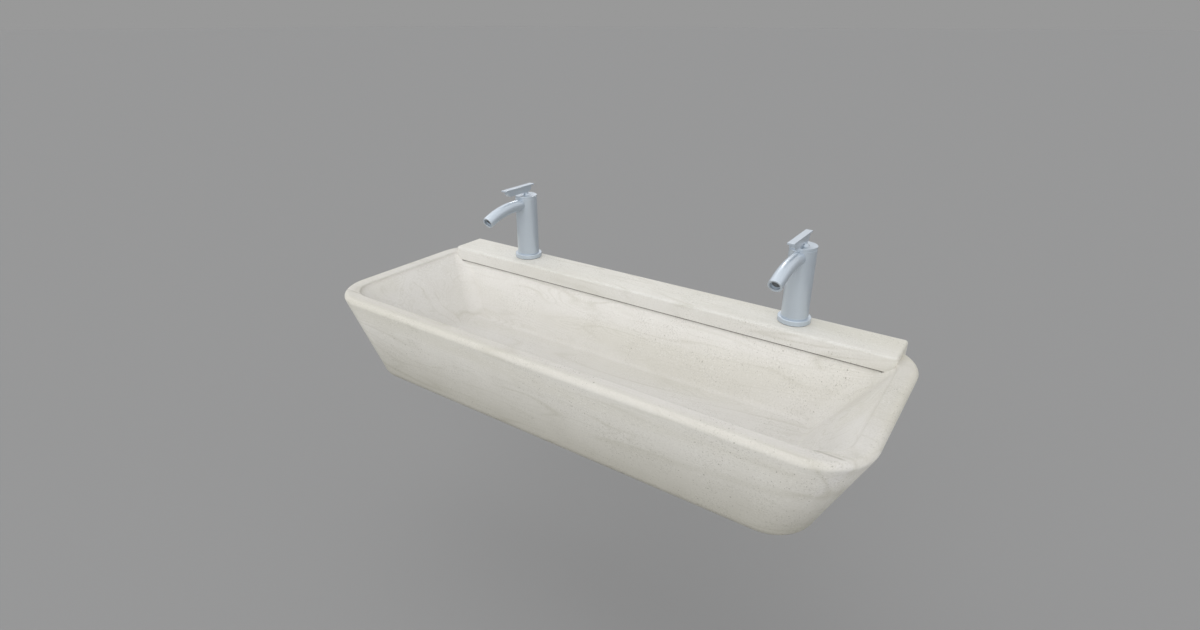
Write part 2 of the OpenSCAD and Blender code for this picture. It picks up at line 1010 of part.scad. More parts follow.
module moving_disc()
{
    color(ceramic)
        translate([0, 0, moving_disc_z])
            difference()
            {
                translate([0, disc_travel / 2, 0])
                    cylinder(r = moving_disc_r, h = disc_h, $fn = round_fn);
                translate([-spindle_slot_w / 2, -pocket_l / 2, disc_h - pocket_h])
                    cube([spindle_slot_w, pocket_l, pocket_h + cut]);
            }
}

module turning_carrier()
{
    color(nylon)
        difference()
        {
            union()
            {
                translate([0, 0, carrier_z])
                    cylinder(r = carrier_r, h = carrier_top - carrier_z, $fn = round_fn);
                translate([0, 0, carrier_z])
                    cylinder(r = neck_r, h = neck_top - carrier_z, $fn = round_fn);
            }
            translate([-spindle_slot_w / 2, -spindle_slot_l / 2, carrier_z - cut])
                cube([spindle_slot_w, spindle_slot_l, tap_h]);
            translate([-neck_r - cut, 0, pivot_z])
                rotate([0, 90, 0])
                    cylinder(r = pin_r + fit, h = 2 * (neck_r + cut), $fn = round_fn);
        }
}

module pivot_pin()
{
    color(steel)
        translate([-pin_l / 2, 0, pivot_z])
            rotate([0, 90, 0])
                cylinder(r = pin_r, h = pin_l, $fn = round_fn);
}

module spindle()
{
    color(steel)
        difference()
        {
            translate([-spindle_w / 2, -spindle_w / 2, spindle_foot])
                cube([spindle_w, spindle_w, spindle_top - spindle_foot]);
            translate([-spindle_w, 0, pivot_z])
                rotate([0, 90, 0])
                    cylinder(r = pin_r + fit, h = 2 * spindle_w, $fn = round_fn);
        }
}

module lever_hub()
{
    socket_w = spindle_w + 2 * fit;
    color(chrome)
        difference()
        {
            union()
            {
                intersection()
                {
                    translate([0, 0, pivot_z])
                        sphere(r = ball_r, $fn = round_fn);
                    translate([0, 0, dome_foot])
                        cylinder(r = 2 * ball_r, h = 2 * ball_r, $fn = round_fn);
                }
                translate([0, 0, tap_h])
                    cylinder(r = hub_neck_r, h = rib_gap, $fn = round_fn);
                translate([0, 0, tap_h])
                    cylinder(r = hub_spigot_r, h = rib_gap + hub_spigot_l, $fn = round_fn);
            }
            translate([0, 0, pivot_z])
                cylinder(r = hub_socket_r, h = hub_roof - pivot_z, $fn = round_fn);
            translate([-socket_w / 2, -socket_w / 2, pivot_z])
                cube([socket_w, socket_w, spindle_top - pivot_z + fit]);
        }
}

// Side view of the rib, with its nose drawn back under the plate
module rib_profile()
{
    polygon([[-lever_front + nose_top, rib_h], [-lever_front + nose_foot, 0], [rib_heel_y, 0],
        [lever_tail - rib_tail, rib_heel_z], [lever_tail - rib_tail, rib_h]]);
}

module lever()
{
    color(chrome)
        difference()
        {
            union()
            {
                translate([-lever_w / 2, -lever_front, plate_z])
                    cube([lever_w, lever_l, lever_t]);
                translate([-rib_w / 2, 0, rib_z])
                    rotate([90, 0, 90])
                        linear_extrude(height = rib_w)
                            rib_profile();
            }
            translate([0, 0, rib_z - cut])
                cylinder(r = hub_spigot_r + fit, h = hub_spigot_l + fit + cut, $fn = round_fn);
            translate([0, hub_spigot_r, screw_z])
                rotate([-90, 0, 0])
                    cylinder(d = screw_d + 2 * fit, h = lever_tail, $fn = round_fn);
        }
}

// Grub screw that holds the lever on the hub, reached from behind
module lever_screw()
{
    color(steel)
        translate([0, hub_spigot_r + fit, screw_z])
            rotate([-90, 0, 0])
                difference()
                {
                    cylinder(d = screw_d, h = screw_l, $fn = round_fn);
                    translate([0, 0, screw_l / 2])
                        hex_prism(key_af, screw_l);
                }
}

// ---------- tap clamps under the basin's deck ----------

module tap_studs()
{
    foot = clamp_z - clamp_gasket_t - clamp_plate_t - stud_nut_h - stud_tail;
    color(steel)
        at_both_taps()
            translate([0, stud_y, foot])
                cylinder(d = stud_d, h = base_seal_t + stud_in - foot, $fn = round_fn);
}

module horseshoe(h)
{
    difference()
    {
        cylinder(r = clamp_r, h = h, $fn = round_fn);
        translate([-clamp_slot_w / 2, clamp_slot_y - 2 * clamp_r, -cut])
            cube([clamp_slot_w, 2 * clamp_r, h + 2 * cut]);
        translate([0, stud_y, -cut])
            cylinder(d = stud_d + 2 * fit, h = h + 2 * cut, $fn = round_fn);
    }
}

module clamp_gaskets()
{
    color(rubber)
        at_both_taps()
            translate([0, 0, clamp_z - clamp_gasket_t])
                horseshoe(clamp_gasket_t);
}

module clamp_plates()
{
    color(steel)
        at_both_taps()
            translate([0, 0, clamp_z - clamp_gasket_t - clamp_plate_t])
                horseshoe(clamp_plate_t);
}

module stud_nuts()
{
    nut_top = clamp_z - clamp_gasket_t - clamp_plate_t;
    color(brass)
        at_both_taps()
            translate([0, stud_y, nut_top - stud_nut_h])
                difference()
                {
                    hex_prism(stud_nut_af, stud_nut_h);
                    translate([0, 0, -cut])
                        cylinder(d = stud_d + 2 * fit, h = stud_nut_h + 2 * cut, $fn = round_fn);
                }
}

basin();
ledge();
ledge_bed();
bracket(left);  // left_bracket
bracket(right);  // right_bracket
bracket_pads();
bracket_inserts();
bracket_bolts();
bracket_washers();
waste_body();
waste_seal();
waste_washer();
waste_nut();
plug_sleeve();
plug_spring();
plug_plunger();
plug_cap();
plug_seal();
tap_base_seals();
tap_studs();
clamp_gaskets();
clamp_plates();
stud_nuts();
at_tap(left) base_ring();  // left_base_ring
at_tap(left) tap_body();  // left_tap_body
at_tap(left) spout();  // left_spout
at_tap(left) aerator_housing();  // left_aerator_housing
at_tap(left) aerator_insert();  // left_aerator_insert
at_tap(left) tap_cap();  // left_tap_cap
at_tap(left) cartridge_base();  // left_cartridge_base
at_tap(left) cartridge_housing();  // left_cartridge_housing
at_tap(left) cartridge_nut();  // left_cartridge_nut
at_tap(left) fixed_disc();  // left_fixed_disc
at_tap(left) moving_disc();  // left_moving_disc
at_tap(left) turning_carrier();  // left_turning_carrier
at_tap(left) pivot_pin();  // left_pivot_pin
at_tap(left) spindle();  // left_spindle
at_tap(left) lever_hub();  // left_lever_hub
at_tap(left) lever();  // left_lever
at_tap(left) lever_screw();  // left_lever_screw
at_tap(right) base_ring();  // right_base_ring
at_tap(right) tap_body();  // right_tap_body
at_tap(right) spout();  // right_spout
at_tap(right) aerator_housing();  // right_aerator_housing
at_tap(right) aerator_insert();  // right_aerator_insert
at_tap(right) tap_cap();  // right_tap_cap
at_tap(right) cartridge_base();  // right_cartridge_base
at_tap(right) cartridge_housing();  // right_cartridge_housing
at_tap(right) cartridge_nut();  // right_cartridge_nut
at_tap(right) fixed_disc();  // right_fixed_disc
at_tap(right) moving_disc();  // right_moving_disc
at_tap(right) turning_carrier();  // right_turning_carrier
at_tap(right) pivot_pin();  // right_pivot_pin
at_tap(right) spindle();  // right_spindle
at_tap(right) lever_hub();  // right_lever_hub
at_tap(right) lever();  // right_lever
at_tap(right) lever_screw();  // right_lever_screw
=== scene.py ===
import json
import math

import bmesh
import bpy
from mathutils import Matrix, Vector


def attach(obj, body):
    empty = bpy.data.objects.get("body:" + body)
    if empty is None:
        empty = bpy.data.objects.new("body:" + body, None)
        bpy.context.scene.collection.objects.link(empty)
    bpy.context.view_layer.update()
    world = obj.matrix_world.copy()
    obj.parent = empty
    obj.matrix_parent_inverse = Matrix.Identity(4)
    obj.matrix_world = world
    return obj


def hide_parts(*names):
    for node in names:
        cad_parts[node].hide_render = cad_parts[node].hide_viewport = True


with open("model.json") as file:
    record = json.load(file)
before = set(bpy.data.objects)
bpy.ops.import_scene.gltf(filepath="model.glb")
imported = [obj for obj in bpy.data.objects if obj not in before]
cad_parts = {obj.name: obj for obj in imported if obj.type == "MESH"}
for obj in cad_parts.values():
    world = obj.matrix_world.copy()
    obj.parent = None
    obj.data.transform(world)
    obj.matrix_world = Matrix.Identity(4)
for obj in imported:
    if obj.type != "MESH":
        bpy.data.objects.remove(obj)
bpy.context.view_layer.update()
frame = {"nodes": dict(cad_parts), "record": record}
mm = 0.001
print("stage: frame loaded,", len(frame["nodes"]), "nodes")

# the camera stands in front, above the rim and to the right
cameraSpec = {"place": (0.7106, -1.2425, 0.6971), "tilt": 65.72, "turn": 34.74, "lens": 19.563, "sensor": 36,
              "clip": (0.02, 400)}
camData = bpy.data.cameras.new("sinkCamera")
camData.lens = cameraSpec["lens"]
camData.sensor_width = cameraSpec["sensor"]
camData.clip_start, camData.clip_end = cameraSpec["clip"]
cam = bpy.data.objects.new("sinkCamera", camData)
bpy.context.scene.collection.objects.link(cam)
cam.location = cameraSpec["place"]
cam.rotation_euler = (math.radians(cameraSpec["tilt"]), 0, math.radians(cameraSpec["turn"]))
bpy.context.scene.camera = cam


# helpers for modelling by hand; sizes come in millimetres
meshCare = {"merge": 0.002, "weld": 0.01, "flatAngle": 0.5, "softFrom": 25}
hexChamfer = {"faceShare": 0.475, "slope": 30, "beyond": 0.3}
sideCount = {"tap": 96, "rod": 64, "screw": 48, "port": 32, "bead": 12}
past = 1  # how far a cutter reaches past the face it cuts


def deselectAll():
    if bpy.context.object and bpy.context.object.mode != "OBJECT":
        bpy.ops.object.mode_set(mode="OBJECT")
    bpy.ops.object.select_all(action="DESELECT")


def makeActive(obj):
    deselectAll()
    obj.select_set(True)
    bpy.context.view_layer.objects.active = obj


def settle(obj, name=None):
    # the object's place goes into its mesh
    makeActive(obj)
    bpy.ops.object.transform_apply(location=True, rotation=True, scale=True)
    if name:
        obj.name = name
        obj.data.name = name
    return obj


def joinInto(obj, *others):
    makeActive(obj)
    for o in others:
        o.select_set(True)
    bpy.ops.object.join()
    return obj


def editMode(obj, selectAll=False):
    makeActive(obj)
    bpy.ops.object.mode_set(mode="EDIT")
    bpy.ops.mesh.select_mode(type="VERT")
    bpy.ops.mesh.select_all(action="SELECT" if selectAll else "DESELECT")


def objectMode():
    bpy.ops.object.mode_set(mode="OBJECT")


def pick(obj, kind, test):
    # selects what passes the test: kind is VERT, EDGE or FACE
    bpy.ops.mesh.select_mode(type=kind)
    bpy.ops.mesh.select_all(action="DESELECT")
    bm = bmesh.from_edit_mesh(obj.data)
    items = {"VERT": bm.verts, "EDGE": bm.edges, "FACE": bm.faces}[kind]
    for item in items:
        if test(item):
            item.select = True
    if kind == "VERT":
        bm.select_flush(True)
    else:
        bm.select_flush_mode()
    bmesh.update_edit_mesh(obj.data)


def edgeMiddle(edge):
    return (edge.verts[0].co + edge.verts[1].co) / (2 * mm)


def facesOut(obj):
    editMode(obj, True)
    bpy.ops.mesh.remove_doubles(threshold=meshCare["merge"] * mm)
    bpy.ops.mesh.normals_make_consistent(inside=False)
    objectMode()


def applyAll(obj):
    makeActive(obj)
    for m in list(obj.modifiers):
        bpy.ops.object.modifier_apply(modifier=m.name)


def combine(obj, other, operation):
    m = obj.modifiers.new("combine", "BOOLEAN")
    m.operation = operation
    m.solver = "EXACT"
    m.object = other
    applyAll(obj)
    bpy.data.objects.remove(other)


def cutWith(obj, *cutters):
    for c in cutters:
        combine(obj, c, "DIFFERENCE")


def softEdges(obj, width, steps):
    # rounds every edge that isn't nearly flat
    editMode(obj, True)
    bpy.ops.mesh.remove_doubles(threshold=meshCare["weld"] * mm)
    bpy.ops.mesh.dissolve_limited(angle_limit=math.radians(meshCare["flatAngle"]))
    bpy.ops.mesh.select_all(action="DESELECT")
    bpy.ops.mesh.select_mode(type="EDGE")
    bpy.ops.mesh.edges_select_sharp(sharpness=math.radians(meshCare["softFrom"]))
    bpy.ops.mesh.bevel(offset=width * mm, segments=steps, affect="EDGES", clamp_overlap=True)
    objectMode()


def smooth(obj, angle=35, weighted=True):
    makeActive(obj)
    bpy.ops.object.shade_smooth_by_angle(angle=math.radians(angle))
    if weighted:
        m = obj.modifiers.new("evenNormals", "WEIGHTED_NORMAL")
        m.mode = "FACE_AREA"
        m.keep_sharp = True
        applyAll(obj)


def dress(obj, body, slotName, *nodes, finish=None):
    # gives a piece its finish, the body it moves with and the nodes it stands for
    obj.data.materials.clear()
    obj.data.materials.append(finish or finishes[slotName])
    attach(obj, body)
    if nodes:
        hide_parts(*nodes)
    return obj


def twin(obj, name, across, forward=0):
    # a copy with its own mesh, moved along the trough and to its front or back
    copy = obj.copy()
    copy.data = obj.data.copy()
    bpy.context.scene.collection.objects.link(copy)
    copy.location = (across * mm, forward * mm, 0)
    return settle(copy, name)


def block(name, low, high):
    deselectAll()
    middle = [(a + b) / 2 * mm for a, b in zip(low, high)]
    bpy.ops.mesh.primitive_cube_add(size=1, location=middle)
    obj = bpy.context.object
    obj.scale = [(b - a) * mm for a, b in zip(low, high)]
    return settle(obj, name)


def rod(name, radius, foot, top, at=(0, 0), sides=sideCount["rod"], turn=0):
    # upright rod
    deselectAll()
    bpy.ops.mesh.primitive_cylinder_add(vertices=sides, radius=radius * mm, depth=(top - foot) * mm,
                                        location=(at[0] * mm, at[1] * mm, (foot + top) / 2 * mm),
                                        rotation=(0, 0, math.radians(turn)))
    return settle(bpy.context.object, name)


def levelRod(name, radius, near, far, x, z, sides=sideCount["rod"]):
    # rod that runs along Y
    deselectAll()
    bpy.ops.mesh.primitive_cylinder_add(vertices=sides, radius=radius * mm, depth=abs(far - near) * mm,
                                        location=(x * mm, (near + far) / 2 * mm, z * mm),
                                        rotation=(math.radians(90), 0, 0))
    return settle(bpy.context.object, name)


def turned(name, stations, at=(0, 0, 0), sides=sideCount["screw"], ring=False):
    # a turned piece: a circle drawn through stations of radius and height, closed to a solid or to a ring
    x, y, z = [v * mm for v in at]
    deselectAll()
    bpy.ops.mesh.primitive_circle_add(vertices=sides, radius=stations[0][0] * mm, fill_type="NOTHING",
                                      location=(x, y, z + stations[0][1] * mm))
    obj = settle(bpy.context.object, name)
    editMode(obj, True)
    for (r0, h0), (r1, h1) in zip(stations, stations[1:]):
        bpy.ops.mesh.extrude_region_move(TRANSFORM_OT_translate={"value": (0, 0, (h1 - h0) * mm)})
        bpy.ops.transform.resize(value=(r1 / r0, r1 / r0, 1), center_override=(x, y, z + h1 * mm))
    if not ring:
        bpy.ops.mesh.edge_face_add()
    bpy.ops.mesh.select_mode(type="EDGE")
    bpy.ops.mesh.select_all(action="DESELECT")
    bpy.ops.mesh.select_non_manifold()
    if ring:
        bpy.ops.mesh.bridge_edge_loops()
    else:
        bpy.ops.mesh.edge_face_add()
    objectMode()
    facesOut(obj)
    return obj


def hexagon(name, flats, foot, top, at=(0, 0), bothEnds=False):
    # hexagon whose corners are turned off at the foot, or at both ends
    corner = flats / math.sqrt(3)
    obj = rod(name, corner, foot, top, at, 6, 30)
    face = flats * hexChamfer["faceShare"]
    wide = corner + hexChamfer["beyond"]
    rise = (wide - face) * math.tan(math.radians(hexChamfer["slope"]))
    upper = [(wide, top - rise), (face, top)] if bothEnds else [(wide, top + past)]
    cone = turned("chamfer", [(face, foot), (wide, foot + rise)] + upper, (*at, 0))
    combine(obj, cone, "INTERSECT")
    return obj


def outline(shape, steps):
    # one level of a stone piece: a rectangle whose corners are rounded in plan
    reach, front, back, frontR, backR, z = shape
    middle = (back - front) / 2
    deselectAll()
    bpy.ops.mesh.primitive_plane_add(size=1, location=(0, middle * mm, z * mm))
    obj = bpy.context.object
    obj.scale = (2 * reach * mm, (back + front) * mm, 1)
    settle(obj)
    editMode(obj)
    pick(obj, "VERT", lambda v: v.co.y < middle * mm)
    bpy.ops.mesh.bevel(offset=frontR * mm, segments=steps, affect="VERTICES", clamp_overlap=False)
    pick(obj, "VERT", lambda v: abs(v.co.y - back * mm) < 1e-6)
    bpy.ops.mesh.bevel(offset=backR * mm, segments=steps, affect="VERTICES", clamp_overlap=False)
    bpy.ops.mesh.select_all(action="SELECT")
    bpy.ops.mesh.delete(type="ONLY_FACE")
    objectMode()
    return obj


def stackOutlines(name, shapes, steps):
    # bridges level after level, then closes the first and the last
    obj = outline(shapes[0], steps)
    count = len(obj.data.vertices)
    for shape in shapes[1:]:
        joinInto(obj, outline(shape, steps))
        start = len(obj.data.vertices) - 2 * count
        editMode(obj)
        pick(obj, "VERT", lambda v: v.index >= start)
        bpy.ops.mesh.bridge_edge_loops()
        objectMode()
    editMode(obj)
    last = len(obj.data.vertices) - count
    for test in (lambda v: v.index < count, lambda v: v.index >= last):
        pick(obj, "VERT", test)
        bpy.ops.mesh.edge_face_add()
    objectMode()
    facesOut(obj)
    return settle(obj, name)


def wallReach(z, top, low):
    # how far a wall stands out at height z, between the round along its top and the round along its foot
    u1, z1, r1 = top
    u2, z2, r2 = low
    lean = math.atan2(z1 - z2, u1 - u2) - math.acos((r2 - r1) / math.hypot(u1 - u2, z1 - z2))
    upper = z1 + r1 * math.sin(lean)
    lower = z2 + r2 * math.sin(lean)
    if z >= upper:
        return u1 + math.sqrt(max(r1 * r1 - (z - z1) ** 2, 0))
    if z <= lower:
        return u2 + math.sqrt(max(r2 * r2 - (z - z2) ** 2, 0))
    share = (z - lower) / (upper - lower)
    return (u2 + r2 * math.cos(lean)) * (1 - share) + (u1 + r1 * math.cos(lean)) * share


def wallLevel(z, wall):
    # the outline of four walls at height z; the corner centres move with the lean
    top, low = wall["topZ"], wall["lowZ"]
    share = min(max((z - low) / (top - low), 0), 1)
    end, front, back = [wallReach(z, *wall[side]) for side in ("end", "front", "back")]
    centre = {k: a * share + b * (1 - share) for k, (a, b) in wall["corners"].items()}
    frontR = (end - centre["frontX"] + front - centre["frontY"]) / 2
    backR = (end - centre["backX"] + back - centre["backY"]) / 2
    return (end, front, back, frontR, backR, z)


# material groups

def makeGroup(name, inputs, outputs):
    group = bpy.data.node_groups.new(name, "ShaderNodeTree")
    for label, kind, value in inputs:
        s = group.interface.new_socket(name=label, in_out="INPUT", socket_type=kind)
        if value is not None:
            s.default_value = value
    for label, kind in outputs:
        group.interface.new_socket(name=label, in_out="OUTPUT", socket_type=kind)
    doors = (group.nodes.new("NodeGroupInput"), group.nodes.new("NodeGroupOutput"))
    return group, group.nodes, group.links, *doors


def math1(n, k, operation, a, b=None, c=None):
    m = n.new("ShaderNodeMath")
    m.operation = operation
    for i, value in enumerate((a, b, c)):
        if value is None:
            continue
        if isinstance(value, (int, float)):
            m.inputs[i].default_value = value
        else:
            k.new(value, m.inputs[i])
    return m.outputs[0]


def rangeOf(n, k, value, lowIn, highIn, lowOut, highOut, eased=False):
    r = n.new("ShaderNodeMapRange")
    r.interpolation_type = "SMOOTHSTEP" if eased else "LINEAR"
    for label, v in (("From Min", lowIn), ("From Max", highIn), ("To Min", lowOut), ("To Max", highOut)):
        r.inputs[label].default_value = v
    k.new(value, r.inputs["Value"])
    return r.outputs["Result"]


def mixColor(n, k, factor, a, b, blend="MIX"):
    m = n.new("ShaderNodeMix")
    m.data_type = "RGBA"
    m.blend_type = blend
    if isinstance(factor, (int, float)):
        m.inputs[0].default_value = factor
    else:
        k.new(factor, m.inputs[0])
    for i, value in ((6, a), (7, b)):
        if isinstance(value, tuple):
            m.inputs[i].default_value = (*value, 1)
        else:
            k.new(value, m.inputs[i])
    return m.outputs[2]


def noise(n, k, vector, scale, detail=3.0, roughness=0.5, distortion=0.0):
    t = n.new("ShaderNodeTexNoise")
    t.inputs["Detail"].default_value = detail
    t.inputs["Roughness"].default_value = roughness
    t.inputs["Distortion"].default_value = distortion
    if isinstance(scale, (int, float)):
        t.inputs["Scale"].default_value = scale
    else:
        k.new(scale, t.inputs["Scale"])
    k.new(vector, t.inputs["Vector"])
    return t


number, vector = "NodeSocketFloat", "NodeSocketVector"


def pitGroup():
    # small irregular pits: a share of a cell pattern, each with its own size
    look = {"wobble": 700.0, "shift": 0.0016, "edge": 0.1}
    g, n, k, i, o = makeGroup("stonePits", [("Vector", vector, None), ("Scale", number, 300.0),
                                            ("Share", number, 0.2), ("Size", number, 0.3)],
                              [("Mask", number)])
    wobble = noise(n, k, i.outputs["Vector"], look["wobble"], 2.0)
    shift = n.new("ShaderNodeVectorMath")
    shift.operation = "MULTIPLY_ADD"
    shift.inputs[1].default_value = (look["shift"],) * 3
    k.new(wobble.outputs["Color"], shift.inputs[0])
    k.new(i.outputs["Vector"], shift.inputs[2])
    cells = n.new("ShaderNodeTexVoronoi")
    k.new(shift.outputs[0], cells.inputs["Vector"])
    k.new(i.outputs["Scale"], cells.inputs["Scale"])
    parts = n.new("ShaderNodeSeparateColor")
    k.new(cells.outputs["Color"], parts.inputs["Color"])
    chosen = math1(n, k, "LESS_THAN", parts.outputs["Red"], i.outputs["Share"])
    ownSize = math1(n, k, "MULTIPLY", parts.outputs["Green"], i.outputs["Size"])
    depth = math1(n, k, "SUBTRACT", ownSize, cells.outputs["Distance"])
    k.new(math1(n, k, "MULTIPLY", rangeOf(n, k, depth, 0, look["edge"], 0, 1), chosen), o.inputs["Mask"])
    return g


def grainGroup():
    # fine grain and a broad cloud of the same stretch
    look = {"fineDetail": 5.0, "fineRoughness": 0.6, "broadShare": 0.08}
    g, n, k, i, o = makeGroup("fineGrain", [("Vector", vector, None), ("Scale", number, 120.0),
                                            ("Stretch", vector, (1, 1, 1))],
                              [("Fine", number), ("Broad", number)])
    stretch = n.new("ShaderNodeVectorMath")
    stretch.operation = "MULTIPLY"
    k.new(i.outputs["Vector"], stretch.inputs[0])
    k.new(i.outputs["Stretch"], stretch.inputs[1])
    fine = noise(n, k, stretch.outputs[0], i.outputs["Scale"], look["fineDetail"], look["fineRoughness"])
    broad = noise(n, k, stretch.outputs[0], math1(n, k, "MULTIPLY", i.outputs["Scale"], look["broadShare"]))
    k.new(fine.outputs["Fac"], o.inputs["Fine"])
    k.new(broad.outputs["Fac"], o.inputs["Broad"])
    return g


def speckGroup():
    # irregular specks that gather in patches
    look = {"roughness": 0.65, "edge": 0.07, "patchRoughness": 0.6, "patches": (0.38, 0.62), "between": 0.2}
    g, n, k, i, o = makeGroup("gatheredSpecks", [("Vector", vector, None), ("Scale", number, 300.0),
                                                 ("Gather", number, 9.0), ("Level", number, 0.58)],
                              [("Mask", number)])
    specks = noise(n, k, i.outputs["Vector"], i.outputs["Scale"], 2.0, look["roughness"])
    patches = noise(n, k, i.outputs["Vector"], i.outputs["Gather"], 3.0, look["patchRoughness"])
    over = math1(n, k, "SUBTRACT", specks.outputs["Fac"], i.outputs["Level"])
    share = rangeOf(n, k, patches.outputs["Fac"], *look["patches"], look["between"], 1)
    k.new(math1(n, k, "MULTIPLY", rangeOf(n, k, over, 0, look["edge"], 0, 1), share), o.inputs["Mask"])
    return g


def veinGroup():
    # thin growth lines: the level lines of a slow wave, stronger in some places than in others
    look = {"wave": (2.5, 0.45, 0.5), "gateScale": 3.0, "gate": (0.42, 0.62)}
    g, n, k, i, o = makeGroup("growthLines", [("Vector", vector, None), ("Scale", number, 1.5),
                                              ("Count", number, 14.0), ("Width", number, 0.2)],
                              [("Line", number), ("Wave", number)])
    wave = noise(n, k, i.outputs["Vector"], i.outputs["Scale"], *look["wave"])
    turns = math1(n, k, "FRACT", math1(n, k, "MULTIPLY", wave.outputs["Fac"], i.outputs["Count"]))
    off = math1(n, k, "ABSOLUTE", math1(n, k, "SUBTRACT", turns, 0.5))
    line = math1(n, k, "SUBTRACT", 1.0, math1(n, k, "DIVIDE", off, i.outputs["Width"]))
    gate = noise(n, k, i.outputs["Vector"], math1(n, k, "MULTIPLY", i.outputs["Scale"], look["gateScale"]))
    shown = rangeOf(n, k, gate.outputs["Fac"], *look["gate"], 0, 1)
    k.new(math1(n, k, "MULTIPLY", math1(n, k, "MAXIMUM", line, 0.0), shown), o.inputs["Line"])
    k.new(wave.outputs["Fac"], o.inputs["Wave"])
    return g


groups = {"pits": pitGroup(), "grain": grainGroup(), "specks": speckGroup(), "veins": veinGroup()}


def newMaterial(name):
    m = bpy.data.materials.new(name)
    m.use_nodes = True
    tree = m.node_tree
    at = tree.nodes.new("ShaderNodeTexCoord").outputs["Object"]
    return m, tree.nodes, tree.links, tree.nodes["Principled BSDF"], at


def useGroup(n, k, group, at, **values):
    g = n.new("ShaderNodeGroup")
    g.node_tree = groups[group]
    k.new(at, g.inputs["Vector"])
    for name, value in values.items():
        g.inputs[name].default_value = value
    return g.outputs


def bumpFrom(n, k, height, shader, strength, distance):
    b = n.new("ShaderNodeBump")
    b.inputs["Strength"].default_value = strength
    b.inputs["Distance"].default_value = distance
    k.new(height, b.inputs["Height"])
    k.new(b.outputs["Normal"], shader.inputs["Normal"])


# the foot, rim, inner edge line and ledge front tones below are painted shade; the joint tone is partly painted
# shade
stoneLook = {"light": (0.775, 0.758, 0.708), "dark": (0.725, 0.707, 0.655), "darkShare": 0.75,
             "band": (0.665, 0.645, 0.565), "bandShare": 0.62, "line": (0.54, 0.52, 0.44), "lineShare": 0.46,
             "pale": (0.83, 0.815, 0.77), "paleShare": 0.45, "speck": (0.47, 0.455, 0.40), "speckShare": 0.46,
             "speckLeast": 0.4, "pit": (0.36, 0.34, 0.29), "pitShare": 0.85, "inside": (1.005, 1.005, 1.028),
             "foot": (0.625, 0.62, 0.585), "rim": (0.91, 0.905, 0.895), "edgeShadeLine": (0.42, 0.40, 0.35),
             "edgeShare": 0.75, "edgeLeast": 0.15, "face": (0.92, 0.925, 0.945),
             "joint": (0.10, 0.095, 0.085), "jointShare": 0.9, "rough": (0.56, 0.70), "specular": 0.25,
             "bump": (0.25, 0.0006), "speckDepth": 0.4, "grainDepth": 0.4}
stoneGrain = {"grain": 230.0, "cloud": (9.0, 4.0, 0.6), "patch": (6.5, 2.0), "lineBreaks": (40.0, 2.0),
              "bedTurn": (0.34, 0.20, 0.18), "bedStretch": (0.6, 3.2, 5.0),
              "veins": {"Scale": 1.5, "Count": 16.0, "Width": 0.16},
              "fineVeins": {"Scale": 2.6, "Count": 30.0, "Width": 0.24}, "fineVeinShare": 0.55,
              "pale": {"Scale": 260.0, "Gather": 12.0, "Level": 0.56},
              "dark": {"Scale": 340.0, "Gather": 14.0, "Level": 0.55},
              "smallPits": {"Scale": 300.0, "Share": 0.30, "Size": 0.36},
              "largePits": {"Scale": 150.0, "Share": 0.10, "Size": 0.30},
              "moreOutside": 0.08, "moreRight": 0.07}
# where a share grows from none to all: noise levels first, then heights and depths in metres
stoneRange = {"cloud": (0.35, 0.65), "grain": (0.42, 0.62), "band": (0.44, 0.64), "specks": (0.40, 0.68),
              "pits": (0.46, 0.70), "lineBreaks": (0.40, 0.55), "polish": (0.3, 0.7), "wall": (-0.005, 0.005),
              "foot": (0.085, -0.062), "rim": (0.119, 0.1265), "edgeShadeLine": (0.1265, 0.1285),
              "edgeOff": (0.0010, 0.0026), "face": (-0.0865, -0.0825), "joint": (0.1113, 0.1121)}
edgeLineY = 0.4235
# planes inside the walls of the trough, in metres: each is a place and its lean per metre of height
wallPlanes = {"front": (-0.417, -0.2), "ends": (0.498, 0.68), "back": (0.111, -0.387), "below": -0.03}


def outerWallMask(n, k, at):
    # 1 all round the outside and below, 0 inside the bowl; gives the coordinates too
    parts = n.new("ShaderNodeSeparateXYZ")
    k.new(at, parts.inputs[0])
    x, y, z = parts.outputs

    def plane(side):
        place, lean = wallPlanes[side]
        return math1(n, k, "MULTIPLY_ADD", z, lean, place)

    front = math1(n, k, "SUBTRACT", plane("front"), y)
    ends = math1(n, k, "SUBTRACT", math1(n, k, "ABSOLUTE", x), plane("ends"))
    back = math1(n, k, "ADD", plane("back"), y)
    below = math1(n, k, "SUBTRACT", wallPlanes["below"], z)
    sides = math1(n, k, "MAXIMUM", front, ends)
    beyond = math1(n, k, "MAXIMUM", sides, math1(n, k, "MAXIMUM", back, below))
    return rangeOf(n, k, beyond, *stoneRange["wall"], 0, 1), x, y, z


def tinted(n, k, share, color, tint):
    return mixColor(n, k, share, color, mixColor(n, k, 1.0, color, tint, "MULTIPLY"))


